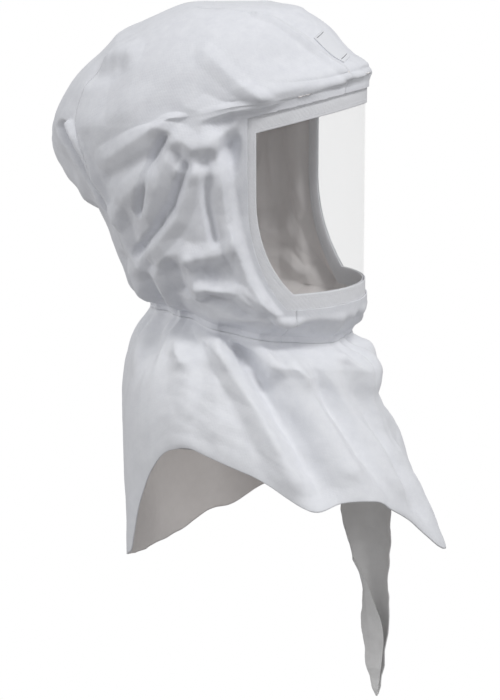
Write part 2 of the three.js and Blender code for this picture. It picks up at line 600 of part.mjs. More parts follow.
function visor() {
  return curvedWall(VISOR_RADIUS - VISOR_SHEET, VISOR_RADIUS)
    .intersect(windowPrism(VISOR_TUCK, VISOR_TUCK, VISOR_TUCK));
}

// The patch starts inside the cloth, and the cloth moved out by the gap then cuts it free
const LABEL_CELLS = 3;
const LABEL_SINK = 1.0;
function browLabel(crown) {
  const [topRight, topLeft, lowLeft, lowRight] = LABEL_CORNERS;
  const place = (i, j) => {
    const u = j / LABEL_CELLS;
    const v = i / LABEL_CELLS;
    const at = name => mix(mix(topRight[name], topLeft[name], u), mix(lowRight[name], lowLeft[name], u), v);
    return [at('bearing'), at('level')];
  };
  const grid = lift => Array.from({ length: LABEL_CELLS + 1 }, (_, i) =>
    Array.from({ length: LABEL_CELLS + 1 }, (_, j) => {
      const [bearing, level] = place(i, j);
      return hood(bearing, level).addScaledVector(outward(hood, bearing, level), lift);
    }));
  const lift = outward(hood, ...place(LABEL_CELLS / 2, LABEL_CELLS / 2)).multiplyScalar(GAP);
  const patch = solidOf(wall(grid(GAP + LABEL), grid(-LABEL_SINK), false));
  return largest(patch.subtract(crown.translate(lift.toArray())).decompose());
}

function neckCasing() {
  const levels = [-CASING_LAP, CASING_HEIGHT - CASING_LAP];
  const face = inset => levels.map(lower => BEARINGS.map(bearing => neck(bearing, inset, lower)));
  return solidOf(wall(face(CASING_INSET), face(CASING_INSET + CASING), true));
}

function shroudSolid(form) {
  const levels = form.flare.map(row => row.down);
  const surface = (bearing, down) => shroud(bearing, down, form);
  return solidOf(shell(surface, BEARINGS, levels, SHROUD_CLOTH));
}

function tail() {
  const across = Array.from({ length: TAIL_COLUMNS + 1 }, (_, i) => 2 * i / TAIL_COLUMNS - 1);
  const downs = TAIL.map(row => row.down);
  return solidOf(shell(tailPoint, across, downs, SHROUD_CLOTH, false));
}

const largest = parts => parts.reduce((a, b) => (a.volume() > b.volume() ? a : b));

// The cut hood's parts are told apart by where they lie
function panelsOf(parts) {
  const middle = part => new THREE.Vector3(...part.boundingBox().min)
    .add(new THREE.Vector3(...part.boundingBox().max)).multiplyScalar(0.5);
  const top = parts.reduce((a, b) => (a.boundingBox().max[2] > b.boundingBox().max[2] ? a : b));
  const rest = parts.filter(part => part !== top);
  const right = rest.reduce((a, b) => (middle(a).x < middle(b).x ? a : b));
  const left = rest.reduce((a, b) => (middle(a).x > middle(b).x ? a : b));
  const chin = largest(rest.filter(part => part !== right && part !== left));
  return { top, right, left, chin };
}

// Meshes
const CLOTH_WHITE = 0xdcdde2;
const SHROUD_WHITE = 0xd6d8de;
const INNER_WHITE = 0xc9c9ca;
const TAPE_WHITE = 0xe6e7ea;
const CLEAR = 0xeef2f5;

function piece(name, solid, color, more = {}) {
  const material = new THREE.MeshStandardMaterial({ color, roughness: 0.85, metalness: 0, ...more });
  const mesh = new THREE.Mesh(geometryOf(solid), material);
  mesh.name = name;
  return mesh;
}

const panels = panelsOf(cutHood());
const object = new THREE.Group();
object.add(
  piece('crown_panel', panels.top, CLOTH_WHITE),
  piece('side_panel_right', panels.right, CLOTH_WHITE),
  piece('side_panel_left', panels.left, CLOTH_WHITE),
  piece('chin_panel', panels.chin, CLOTH_WHITE),
  piece('brow_label', browLabel(panels.top), TAPE_WHITE),
  piece('visor', visor(), CLEAR, { roughness: 0.08, transparent: true, opacity: 0.25 }),
  piece('visor_binding', visorBinding(), TAPE_WHITE),
  piece('neck_casing', neckCasing(), CLOTH_WHITE),
  piece('outer_shroud', shroudSolid(OUTER), SHROUD_WHITE),
  piece('inner_shroud', shroudSolid(INNER).add(tail()), INNER_WHITE),
);

export default object;
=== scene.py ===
# %% [markdown]
# A loose-fitting respirator hood, dressed over its construction model.
# The construction model fixes every size. This script gives each cloth panel, the visor, its
# tape and the two shrouds their real surfaces. Shapes are worked out with numpy as functions of
# two parameters and written into meshes as whole arrays. Lengths are in millimetres up to there.

# %% Load the fixed frame
import math
import bpy
import bmesh
import numpy as np
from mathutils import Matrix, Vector


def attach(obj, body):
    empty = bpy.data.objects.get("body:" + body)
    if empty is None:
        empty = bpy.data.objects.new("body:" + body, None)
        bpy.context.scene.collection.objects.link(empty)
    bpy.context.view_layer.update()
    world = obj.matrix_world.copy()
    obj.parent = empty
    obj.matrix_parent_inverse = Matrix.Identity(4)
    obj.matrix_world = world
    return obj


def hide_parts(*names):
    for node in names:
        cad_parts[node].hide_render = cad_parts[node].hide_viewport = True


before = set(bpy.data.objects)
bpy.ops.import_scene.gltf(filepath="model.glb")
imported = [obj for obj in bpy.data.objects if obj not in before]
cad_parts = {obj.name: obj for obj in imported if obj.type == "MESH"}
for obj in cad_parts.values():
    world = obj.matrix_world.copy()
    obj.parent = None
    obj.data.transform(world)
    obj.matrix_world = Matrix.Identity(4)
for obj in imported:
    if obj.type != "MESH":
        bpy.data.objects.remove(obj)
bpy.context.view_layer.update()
MM = 0.001

# %% [markdown]
# The camera stands to the right front of the wearer, a little above, and far enough away for
# the long-lens look of a catalogue picture. The target and the direction were measured from
# the visor, whose upright edges lie on a true cylinder.

# %% Camera
CAMERA_AZIMUTH = math.radians(-71.0)
CAMERA_ELEVATION = math.radians(12.0)
CAMERA_DISTANCE = 2.4
CAMERA_TARGET = Vector((0.0, -0.021, -0.3435))
PICTURE_HEIGHT = 700
FOCAL_PIXELS = 2400
SENSOR = 36.0
FARTHEST = 100.0


def add_camera():
    """Places the camera on a sphere round the target and turns it to look at the target."""
    level = math.cos(CAMERA_ELEVATION)
    away = Vector((math.sin(CAMERA_AZIMUTH) * level, -math.cos(CAMERA_AZIMUTH) * level,
                   math.sin(CAMERA_ELEVATION)))
    data = bpy.data.cameras.new("camera")
    data.sensor_width = SENSOR
    data.lens = FOCAL_PIXELS * SENSOR / PICTURE_HEIGHT
    data.clip_end = FARTHEST
    camera = bpy.data.objects.new("camera", data)
    camera.location = CAMERA_TARGET + away * CAMERA_DISTANCE
    camera.rotation_euler = away.to_track_quat("Z", "Y").to_euler()
    bpy.context.scene.collection.objects.link(camera)
    bpy.context.scene.camera = camera


add_camera()

# %% [markdown]
# Smooth random numbers make cloth look handled. A lattice of random values is read between its
# points with an eased blend, at several scales. Crumpled cloth also has flat facets that meet in
# creases, and triangle waves in random directions give those. Blender's own noise textures could
# do it, but numbers from one seeded generator give the same folds in each run.

# %% Smooth noise
LATTICE_SIZE, LATTICE_SEED = 48, 11
LATTICE = np.random.default_rng(LATTICE_SEED).random((LATTICE_SIZE,) * 3)


def ease(value, low, high):
    """Rises smoothly from 0 at low to 1 at high."""
    share = np.clip((value - low) / (high - low), 0.0, 1.0)
    return share * share * (3.0 - 2.0 * share)


def mix(a, b, share):
    """Straight blend from a to b."""
    return a + (b - a) * share


def noise(points, scale, shift):
    """Value noise from -1 to 1 at points in millimetres, with lumps about scale wide."""
    place = points / scale + shift
    cell = np.floor(place).astype(int)
    part = place - cell
    part = part * part * (3.0 - 2.0 * part)
    total = np.zeros(points.shape[:-1])
    for corner in np.ndindex(2, 2, 2):
        index = (cell + corner) % LATTICE_SIZE
        weight = np.prod(np.where(np.array(corner), part, 1.0 - part), axis=-1)
        total += weight * LATTICE[index[..., 0], index[..., 1], index[..., 2]]
    return total * 2.0 - 1.0


def lumps(points, height, scale, shift):
    """Height times the noise with lumps about scale wide."""
    return height * noise(points, scale, shift)


# %% Creases
WARP_SIZE, WARP_SHARE, WARP_SHIFTS = 2.2, 0.5, (1.3, 2.9, 4.1)


def triangle(place):
    """Triangle wave from -1 to 1, highest at the whole numbers."""
    return np.abs(place % 1.0 - 0.5) * 4.0 - 1.0


def facets(points, scale, count, seed):
    """Mean of warped triangle waves in random directions: flat facets that meet in sharp creases."""
    generator = np.random.default_rng(seed)
    warp = np.stack([noise(points, WARP_SIZE * scale, seed + shift) for shift in WARP_SHIFTS], -1)
    place = points + warp * WARP_SHARE * scale
    total = np.zeros(points.shape[:-1])
    for _ in range(count):
        direction = generator.normal(size=3)
        direction /= np.linalg.norm(direction)
        total += triangle(place @ direction / scale + generator.random())
    return total / count


def creases(points, layers):
    """Sum of facets at several scales, each times its height."""
    return sum(height * facets(points, scale, count, seed) for height, scale, count, seed in layers)


# %% [markdown]
# The hood is a bag of cloth that hangs from the crown and is drawn in at the neck. It is drawn as
# sections from the crown down to the neck, each given by five reaches from an upright line:
# front, corner, side, rear and back. A Catmull-Rom curve runs through them both ways. Round the
# face the sections give way to the visor's cylinder. Sculpting or a cloth simulation could make
# such a bag too, but sections keep it on the construction model's sizes.

# %% Sizes of the hood
CLOTH = 1.5
VISOR_RADIUS = 101.0
VISOR_SHEET = 0.8
VISOR_AXIS_Y = -33.6
VISOR_SPREAD = 74.5
VISOR_TUCK = 7.0
TAPE = 1.0
GAP = 0.3
FACET_SLACK = 0.25
WINDOW_TOP_DROP = 20.0
WINDOW_BELOW_BRIM = 16.0
WINDOW_HEIGHT = 174.5
WINDOW_STRAIGHT = 60.0
WINDOW_CORNER = 54.0
CHIN_HEIGHT = 50.5
TAPE_TOP, TAPE_SIDE, TAPE_BOTTOM, TAPE_LAP = 17.0, 10.0, 18.0, 3.0
SIDE_REACH, BACK_REACH, POLE_Y = 125.0, 169.0, 15.0
CUFF_HEIGHT = 6.0
TAPE_FACE = VISOR_RADIUS + GAP + TAPE
CLOTH_FACE = TAPE_FACE + GAP + FACET_SLACK + CLOTH
AXIS_OFFSET = POLE_Y - VISOR_AXIS_Y
FRONT_REACH = AXIS_OFFSET + CLOTH_FACE
SECTIONS = np.array([
    # zFront zSide  zBack  front  corner side   rear   back
    [0.000, 0.000, 0.000, 0.000, 0.000, 0.000, 0.000, 0.000],
    [0.006, 0.012, 0.006, 0.491, 0.386, 0.368, 0.201, 0.166],
    [0.031, 0.050, 0.047, 0.616, 0.544, 0.576, 0.385, 0.361],
    [0.075, 0.106, 0.091, 0.747, 0.675, 0.736, 0.515, 0.515],
    [0.131, 0.172, 0.144, 0.858, 0.773, 0.864, 0.627, 0.651],
    [0.175, 0.238, 0.225, 0.969, 0.858, 0.936, 0.740, 0.817],
    [0.203, 0.284, 0.313, 1.028, 0.904, 0.968, 0.805, 0.947],
    [0.228, 0.313, 0.369, 1.015, 0.897, 0.984, 0.828, 0.994],
    [0.247, 0.334, 0.413, 1.002, 0.878, 0.992, 0.828, 1.000],
    [0.313, 0.394, 0.463, 1.002, 0.871, 1.000, 0.817, 0.976],
    [0.406, 0.469, 0.525, 1.002, 0.871, 1.000, 0.775, 0.893],
    [0.500, 0.556, 0.594, 1.002, 0.871, 0.976, 0.722, 0.763],
    [0.594, 0.641, 0.663, 1.002, 0.871, 0.944, 0.669, 0.651],
    [0.688, 0.713, 0.725, 1.002, 0.871, 0.904, 0.633, 0.598],
    [0.766, 0.775, 0.781, 1.002, 0.871, 0.864, 0.598, 0.556],
    [0.838, 0.825, 0.825, 1.002, 0.871, 0.824, 0.562, 0.521],
    [0.894, 0.863, 0.856, 1.002, 0.858, 0.776, 0.533, 0.491],
    [0.938, 0.894, 0.884, 0.982, 0.819, 0.704, 0.491, 0.456],
    [0.975, 0.916, 0.903, 0.943, 0.760, 0.616, 0.438, 0.408],
    [0.997, 0.931, 0.913, 0.891, 0.701, 0.536, 0.391, 0.355],
])
BRIM_LEVEL = 8
NECK_LEVEL = len(SECTIONS) - 1
HOOD_HEIGHT = (WINDOW_BELOW_BRIM + WINDOW_HEIGHT + CHIN_HEIGHT) / (1.0 - SECTIONS[BRIM_LEVEL, 0])
CROWN_TOP = CLOTH
WINDOW_TOP = HOOD_HEIGHT * SECTIONS[BRIM_LEVEL, 0] + WINDOW_BELOW_BRIM
WINDOW_BOTTOM = CROWN_TOP - WINDOW_TOP - WINDOW_HEIGHT
WINDOW_FRONT_Y = VISOR_AXIS_Y - VISOR_RADIUS
WINDOW_SIDE_Y = VISOR_AXIS_Y - VISOR_RADIUS * math.cos(math.radians(VISOR_SPREAD))


# %% Curves and directions
RING_STEP = 45.0
TINY = 1e-9


def through(values, position):
    """Catmull-Rom curve through evenly numbered values, which may be whole arrays."""
    last = len(values) - 1
    index = np.clip(np.floor(position).astype(int), 0, last - 1)
    t = position - index

    def pick(k):
        k = np.clip(k, 0, last)
        return values[k] if values.ndim == 1 else np.take_along_axis(values, k[None], 0)[0]

    a, b, c, d = (pick(index + k) for k in (-1, 0, 1, 2))
    return 0.5 * (2 * b + (c - a) * t + (2 * a - 5 * b + 4 * c - d) * t ** 2
                  + (3 * b - a - 3 * c + d) * t ** 3)


def wrapped(bearing):
    """Bearing from -180 up to 180 degrees."""
    return (bearing + 180.0) % 360.0 - 180.0


def round_values(front, side, back, bearing):
    """Value all round from its front, side and back values: side plus a cosine and its square."""
    c = np.cos(np.radians(bearing))
    return side + (front - back) / 2 * c + ((front + back) / 2 - side) * c * c


def from_pole(bearing, reach, z):
    """Point at that bearing and reach from the upright line, at height z."""
    angle = np.radians(bearing)
    return np.stack([reach * np.sin(angle), POLE_Y - reach * np.cos(angle), z + 0 * reach], -1)


def towards_pole(bearing):
    """Level direction from a bearing in to the upright line."""
    angle = np.radians(bearing)
    return np.stack([-np.sin(angle), np.cos(angle), 0 * angle], -1)


# %% The window's outline
OUTLINE_STEPS = 40
OUTLINE_REACH = 60.0
CORNER_PULL = 0.6


def window_top(y):
    """Height of the clear area's upper edge, which slopes down from the front to the sides."""
    share = (y - WINDOW_FRONT_Y) / (WINDOW_SIDE_Y - WINDOW_FRONT_Y)
    return CROWN_TOP - WINDOW_TOP - WINDOW_TOP_DROP * share


def window_outline(top, side, bottom, steps=9):
    """Corners of the window seen from the side, grown by so much at its top, side and bottom."""
    front_y = WINDOW_FRONT_Y - OUTLINE_REACH
    side_y = WINDOW_SIDE_Y + side
    bottom_z = WINDOW_BOTTOM - bottom
    bend_z = window_top(WINDOW_SIDE_Y) - WINDOW_STRAIGHT
    corner_y = VISOR_AXIS_Y - VISOR_RADIUS * math.cos(math.radians(WINDOW_CORNER)) + side / 2
    pull_z = mix(bend_z, bottom_z, CORNER_PULL)
    t = np.linspace(0.0, 1.0, steps)[:, None]
    bend = ((1 - t) ** 2 * [corner_y, bottom_z] + 2 * t * (1 - t) * [side_y, pull_z]
            + t ** 2 * [side_y, bend_z])
    return np.vstack([[front_y, window_top(front_y) + top], [front_y, bottom_z], bend,
                      [side_y, window_top(WINDOW_SIDE_Y) + top]])


def past_tape(point):
    """How far points lie above the tape's upper edge and below its lower edge."""
    above = point[..., 2] - window_top(point[..., 1]) - TAPE_TOP
    below = WINDOW_BOTTOM - TAPE_BOTTOM - point[..., 2]
    return above, below


# %% The hood without folds
BRIM_BLEND, CHIN_BLEND, CHEEK_BLEND = (2.0, 9.0), (3.0, 16.0), (58.0, 80.0)
GUARD_BLEND = (14.0, 34.0)


def face_share(bearing, point, brim=BRIM_BLEND):
    """Share of the visor's cylinder in the cloth: whole at the tape and none well away from it."""
    above, below = past_tape(point)
    return ((1 - ease(above, *brim)) * (1 - ease(below, *CHIN_BLEND))
            * (1 - ease(np.abs(wrapped(bearing)), *CHEEK_BLEND)))


def smooth_hood(bearing, level):
    """Outer face without folds: sections blended round, then down, then with the cylinder."""
    bearing, level = np.broadcast_arrays(np.asarray(bearing, float), np.asarray(level, float))
    row = np.minimum(level, NECK_LEVEL)
    column = [through(SECTIONS[:, k], row) for k in range(SECTIONS.shape[1])]
    z = CROWN_TOP - HOOD_HEIGHT * round_values(column[0], column[1], column[2], bearing)
    front, corner = column[3] * FRONT_REACH, column[4] * FRONT_REACH
    side, rear, back = column[5] * SIDE_REACH, column[6] * BACK_REACH, column[7] * BACK_REACH
    ring = np.stack([corner, front, corner, side, rear, back, rear])
    drawn = through(ring, np.abs(wrapped(bearing)) / RING_STEP + 1.0)
    across = AXIS_OFFSET * np.sin(np.radians(bearing))
    cylinder = (AXIS_OFFSET * np.cos(np.radians(bearing))
                + np.sqrt(np.maximum(CLOTH_FACE ** 2 - across ** 2, 0.0)))
    place = from_pole(bearing, drawn, z)
    reach = mix(drawn, np.maximum(drawn, cylinder), face_share(bearing, place, GUARD_BLEND))
    reach = mix(reach, cylinder, face_share(bearing, place))
    cuff = np.maximum(level - NECK_LEVEL, 0.0) * CUFF_HEIGHT
    return from_pole(bearing, reach, z - cuff)


def normals_of(points, closed=False):
    """Outward directions on a grid of points whose rows run down and columns run round."""
    if closed:
        around = np.roll(points, -1, 1) - np.roll(points, 1, 1)
    else:
        around = np.gradient(points, axis=1)
    down = np.gradient(points, axis=0)
    normal = np.cross(down, around)
    return normal / np.maximum(np.linalg.norm(normal, axis=-1, keepdims=True), TINY)


# %% [markdown]
# A fold is a line between two places on the cloth with a straight-sided ridge or valley along it,
# like a tent, because thin stiff cloth bends sharply and lies flat between. The list follows the
# photograph: a deep pleat at the back, knots where folds meet over the ear, slanting valleys
# below them, and the pinched folds that run into the neck. A cloth simulation would fold too,
# but not in the places where this hood is folded.

# %% Folds of the hood
# millimetres to a degree of bearing and to a level, in the flat plane where distances are taken
DEGREE_RUN, LEVEL_RUN = 1.9, 18.0
HOOD_FOLDS = [
    # half-width mm, height mm, then its path as bearing and level
    (5, -28.0, [(-151, 7.3), (-146, 8.5), (-141, 9.9), (-135, 11.5)]),   # deep back pleat
    (3, 7.0, [(-145, 7.0), (-140, 8.2), (-136, 9.5), (-131, 11.4)]),
    (5, -3.4, [(-126, 4.2), (-141, 4.7)]),
    (6, 4.0, [(-121, 3.7), (-138, 4.1)]),
    (14, -3.4, [(-128, 4.9), (-122, 7.0), (-125, 9.0)]),
    (8, 4.0, [(-163, 3.3), (-129, 3.7)]),
    (7, 7.0, [(-90, 7.2), (-95, 7.9), (-107, 8.6), (-123, 9.3)]),        # lid over the ear
    (3, -2.5, [(-99, 9.3), (-112, 9.8), (-126, 10.2)]),
    (6, 6.0, [(-101, 10.2), (-114, 10.8), (-124, 11.6)]),
    (2.2, -7.0, [(-93, 8.6), (-99, 9.5), (-104, 10.6), (-109, 11.4)]),
    (4, 5.5, [(-89, 9.0), (-95, 10.4), (-103, 11.5)]),
    (5, 6.0, [(-94, 8.1), (-85, 8.8), (-80, 9.3), (-72, 9.3)]),          # tuck above the cheek
    (4, -4.1, [(-88, 9.3), (-82, 9.8), (-75, 9.8)]),
    (4, 4.0, [(-85, 10.1), (-77, 10.1)]),
    (2.8, -9.0, [(-83, 10.0), (-91, 11.3), (-102, 12.3), (-115, 13.2)]),   # long slanting valley
    (5, 7.0, [(-79, 10.2), (-87, 11.6), (-98, 12.6), (-109, 13.4)]),
    (6, 13.0, [(-71, 9.4), (-68, 11.0), (-65, 12.0), (-53, 14.4), (-40, 16.8)]),   # face ridge
    (2.5, -4.0, [(-75, 10.0), (-74, 11.2), (-71, 12.6)]),
    (6, -6.8, [(-70, 9.6), (-64, 9.5), (-58, 9.2)]),                    # pocket at the corner
    (6, 5.0, [(-72, 9.1), (-64, 8.9), (-57, 8.3)]),
    (6, 6.0, [(-102, 13.7), (-95, 13.2), (-88, 13.1), (-81, 13.4)]),     # puff above the neck
    (6, -7.5, [(-93, 13.9), (-90, 14.5), (-90, 15.6)]),
    (5, 5.0, [(-82, 13.2), (-74, 13.2), (-66, 13.1), (-58, 12.9)]),
    (7, -8.8, [(-81, 14.1), (-73, 14.3), (-66, 14.2)]),                 # dark wedge
    (4, 6.0, [(-83, 13.5), (-81, 14.5), (-79, 15.6)]),
    (5, 7.0, [(-76, 14.9), (-68, 15.0), (-60, 15.1), (-52, 16.2)]),
    (6, -6.1, [(-73, 15.7), (-64, 15.9), (-56, 16.5)]),
    (6, 6.0, [(-65, 14.1), (-57, 15.0), (-48, 15.8)]),
    (6, -5.4, [(-118, 11.5), (-116, 12.9), (-107, 13.7)]),
    (7, 6.0, [(-124, 11.8), (-121, 13.0), (-114, 14.2)]),
    (12, -5.5, [(-74, 5.2), (-66, 6.2), (-60, 7.4)]),                    # hollow above the visor
    (5, 2.2, [(-76, 3.4), (-70, 3.8), (-61, 4.8), (-53, 6.4), (-48, 7.8)]),
    (5, 2.6, [(-58, 5.3), (-53, 6.4), (-48, 7.8)]),
    (7, 1.5, [(-4, 6.3), (-20, 6.4), (-30, 6.9), (-40, 7.6), (-52, 8.3)]),       # along the brim
    (5, -2.6, [(-10, 7.2), (-18, 7.3)]),
    (6, -2.5, [(8, 6.4), (-12, 6.4)]),
    (3, 3.6, [(-40, 1.7), (-32, 2.1), (-24, 3.2), (-18, 4.2), (-14, 6.0)]),
    (6, -5.4, [(-133, 14.0), (-131, 17.0)]),
    (8, 8.0, [(-123, 14.5), (-119, 16.8)]),
    (6, -5.4, [(-112, 14.6), (-109, 17.0)]),
    (6, 7.0, [(-104, 14.5), (-100, 16.8)]),
    (9, -4.8, [(-160, 12.0), (-165, 16.5)]),
    (9, 6.0, [(-176, 11.0), (-174, 16.8)]),
    (9, -3.4, [(-172, 6.0), (-158, 9.5)]),
    (9, 5.0, [(-178, 9.0), (-160, 11.0)]),
]
FAR_FOLDS = [
    # only on the wearer's left, where the window shows their inside
    (8, -5.5, [(66, 12.0), (62, 14.0), (57, 17.0)]),
    (6, 4.0, [(52, 12.8), (48, 14.5), (46, 16.2)]),
    (8, -6.0, [(93, 11.8), (91, 14.0), (88, 17.0)]),
    (7, 4.5, [(78, 12.2), (75, 14.5), (71, 17.0)]),
]

# %% Height of the folds
# the left side's share of the right side's folds, and how far they are moved there
LEFT_SHARE, LEFT_SHIFT, LEFT_RISE = 0.5, 8.0, 0.6
MOST_HEIGHT = 15.0
FOLD_SPREAD = 1.9
FOLD_TIP = 1.1
FOLD_FOOT = 0.06


def tent(away):
    """Falls straight from 1 at the fold's line to 0 at its foot, where it is rounded a little."""
    rise = 1.0 - away / FOLD_SPREAD
    return (rise + np.sqrt(rise * rise + FOLD_FOOT ** 2)) / (1.0 + math.hypot(1.0, FOLD_FOOT))


def fold_from(place, width, height, path, turned=1):
    """Height times the tent of the distance to the path over the half-width, its tip rounded."""
    stops = np.array(path, float) * [turned * DEGREE_RUN, LEVEL_RUN]
    nearest = np.full(place.shape[:-1], np.inf)
    for start, stop in zip(stops[:-1], stops[1:]):
        along = stop - start
        share = np.clip(((place - start) @ along) / (along @ along), 0.0, 1.0)
        away = np.linalg.norm(place - start - share[..., None] * along, axis=-1)
        nearest = np.minimum(nearest, away)
    away = np.hypot(nearest, FOLD_TIP) - FOLD_TIP
    return height * tent(away / width)


def fold_height(bearing, level):
    """Sum of all the folds, on the right as listed and on the left shallower and moved a little,
    its ridges held under a most height, and beside it the sum of the folds' sizes, which tells
    how handled the cloth is there."""
    right_place = np.stack([wrapped(bearing) * DEGREE_RUN, level * LEVEL_RUN], -1)
    left_place = right_place + [-LEFT_SHIFT * DEGREE_RUN, LEFT_RISE * LEVEL_RUN]
    height = np.zeros(right_place.shape[:-1])
    handled = np.zeros(right_place.shape[:-1])
    for fold in HOOD_FOLDS:
        near_side = fold_from(right_place, *fold)
        far_side = LEFT_SHARE * fold_from(left_place, *fold, turned=-1)
        height += near_side + far_side
        handled += np.abs(near_side) + np.abs(far_side)
    for fold in FAR_FOLDS:
        height += fold_from(right_place, *fold)
    height = np.where(height > 0, MOST_HEIGHT * np.tanh(height / MOST_HEIGHT), height)
    return height, handled


# %% [markdown]
# Elastic or a drawn tape gathers the hood at the neck. Gathers are never even, so the wave that
# makes them wanders round the neck and grows and shrinks. A plain cosine would look stamped.

# %% Gathers at the neck
COARSE_GATHERS, COARSE_DEPTH, COARSE_LEVELS = 12, 3.0, (15.5, 18.5)
FINE_GATHERS, FINE_DEPTH, FINE_FULL = 22, 4.0, 18.4
# size, number round the neck and turn in degrees of each sine wave
WANDER_WAVES = [(9.0, 3, 40), (5.0, 7, 0), (2.5, 11, 80)]
UNEVEN, UNEVEN_WAVES, UNEVEN_LIMITS = 0.75, [(0.4, 5, 70), (0.3, 13, 0)], (0.1, 1.4)
FINE_START, FINE_START_WAVES = 15.0, [(1.8, 5, 25)]
CUFF_CALM, CUFF_LEVELS = 0.7, (18.8, 20.0)


def waves(bearing, terms, middle=0.0):
    """Middle value plus a sum of sine waves round the hood."""
    return sum((size * np.sin(np.radians(count * bearing + turn)) for size, count, turn in terms), middle)


def gather_wave(bearing):
    """Uneven triangle wave round the neck, with some gathers wide and some pinched."""
    wave = triangle(FINE_GATHERS * (bearing + waves(bearing, WANDER_WAVES)) / 360.0)
    return wave * np.clip(waves(bearing, UNEVEN_WAVES, UNEVEN), *UNEVEN_LIMITS)


def gather_depth(bearing, level):
    """Ripple that grows towards the neck: a coarse wave and a finer, uneven one."""
    coarse = COARSE_DEPTH * ease(level, *COARSE_LEVELS) * np.cos(np.radians(COARSE_GATHERS * bearing))
    start = waves(bearing, FINE_START_WAVES, FINE_START)
    fine = FINE_DEPTH * ease(level, start, FINE_FULL) * (1 - CUFF_CALM * ease(level, *CUFF_LEVELS))
    return coarse + fine * gather_wave(bearing)


# %% Where the cloth is held
HOLD_ABOVE, HOLD_BELOW, HOLD_BEHIND = (0.0, 8.0), (2.0, 14.0), (1.0, 12.0)
BRIM_FROM, BRIM_TO, BRIM_BEARINGS = (6.3, 7.2), (8.2, 9.0), (66.0, 84.0)
BRIM_HOLD = 0.75


def held_share(point):
    """Share of hold by the tape: whole on it and none a little above, below and behind it."""
    above, below = past_tape(point)
    edge = window_outline(TAPE_TOP, TAPE_SIDE, TAPE_BOTTOM)[2:]
    behind = point[..., 1] - np.interp(point[..., 2], edge[:, 1], edge[:, 0])
    return ((1 - ease(above, *HOLD_ABOVE)) * (1 - ease(below, *HOLD_BELOW))
            * (1 - ease(behind, *HOLD_BEHIND)))


def brim_share(bearing, level):
    """Share of the cloth that turns under the brim: whole there and none above, below and behind."""
    return (ease(level, *BRIM_FROM) * (1 - ease(level, *BRIM_TO))
            * (1 - ease(np.abs(wrapped(bearing)), *BRIM_BEARINGS)))


# %% The hood with its folds
POLE_LEVEL = 0.02
NECK_CALM = 2
CROWN_LEVELS, CROWN_ROUGHNESS = (4.0, 9.0), 0.25
BROW_BEARINGS, BROW_END, BROW_CALM = (30.0, 70.0), 12, 0.7
HANDLED_RANGE = (3.0, 16.0)
# height, size and shift of the noise
LARGE_LUMPS, TAPED_LUMPS, WEAR_LUMPS = (2.5, 75.0, 5.1), (0.3, 26.0, 2.0), (0.5, 50.0, 7.7)
WEAR = 0.6
# height, size, number of directions and seed of each layer of facets
BROAD_CREASES = [(5.5, 62.0, 4, 3), (2.8, 30.0, 3, 8)]
CRISP_CREASES = [(2.4, 18.0, 3, 5)]


def hood(bearing, level):
    """The outer face moved out by folds, lumps and creases where it is free, and in by gathers."""
    bearing, level = np.broadcast_arrays(np.asarray(bearing, float), np.asarray(level, float))
    base = smooth_hood(bearing, level)
    normal = normals_of(base)
    normal[level < POLE_LEVEL] = (0.0, 0.0, 1.0)
    free = (1 - held_share(base)) * (1 - ease(level, NECK_LEVEL - NECK_CALM, NECK_LEVEL))
    front = 1 - ease(np.abs(wrapped(bearing)), *BROW_BEARINGS)
    calm = 1 - BROW_CALM * front * (level < BROW_END)
    rough = mix(CROWN_ROUGHNESS, 1.0, ease(level, *CROWN_LEVELS) * calm)
    folds, handled = fold_height(bearing, level)
    folds = folds * (1 - BRIM_HOLD * brim_share(bearing, level))
    worn = WEAR + lumps(base, *WEAR_LUMPS)
    soft = (lumps(base, *LARGE_LUMPS) + creases(base, BROAD_CREASES) * worn) * rough
    crisp = creases(base, CRISP_CREASES) * ease(handled, *HANDLED_RANGE) * calm
    lift = (folds + soft + crisp) * free + lumps(base, *TAPED_LUMPS) * (1 - free)
    gathers = gather_depth(bearing, level) * (1 - face_share(bearing, base))
    return base + normal * lift[..., None] + towards_pole(bearing) * gathers[..., None]


# %% [markdown]
# Meshes are written as whole arrays, which is far quicker than adding points one by one. A grid
# becomes quads, and cloth is one sheet of them. A Solidify modifier gives it its thickness and a
# rim at every open edge, so that both faces follow the same folds.

# %% Mesh helpers
def add_mesh(name, points, faces, material, smooth=True):
    """Makes an object from points in millimetres and an array or list of faces."""
    mesh = bpy.data.meshes.new(name)
    mesh.from_pydata((points.reshape(-1, 3) * MM).tolist(), [], [list(face) for face in faces])
    mesh.validate()
    mesh.polygons.foreach_set("use_smooth", np.full(len(mesh.polygons), smooth))
    mesh.materials.append(material)
    obj = bpy.data.objects.new(name, mesh)
    bpy.context.scene.collection.objects.link(obj)
    return obj


def grid_faces(rows, columns, round_rows=False, round_columns=False):
    """Quads of a grid, joined to itself along either direction if asked."""
    i = np.arange(rows if round_rows else rows - 1)[:, None]
    j = np.arange(columns if round_columns else columns - 1)[None, :]
    a = i * columns + j
    b = (i + 1) % rows * columns + j
    c = (i + 1) % rows * columns + (j + 1) % columns
    d = i * columns + (j + 1) % columns
    return np.stack(np.broadcast_arrays(a, b, c, d), -1).reshape(-1, 4)


def add_wall(obj, thickness, inside=None):
    """Gives a sheet its thickness inwards from its outer face, with its own material inside."""
    solid = obj.modifiers.new("wall", "SOLIDIFY")
    solid.thickness = thickness * MM
    solid.offset = -1.0
    if inside is not None:
        obj.data.materials.append(inside)
        solid.material_offset = 1
    return obj


def finish_piece(obj, slot, *nodes):
    """Rides on the one body and stands for its nodes; its slot is not used."""
    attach(obj, "root")
    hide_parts(*nodes)
    return obj


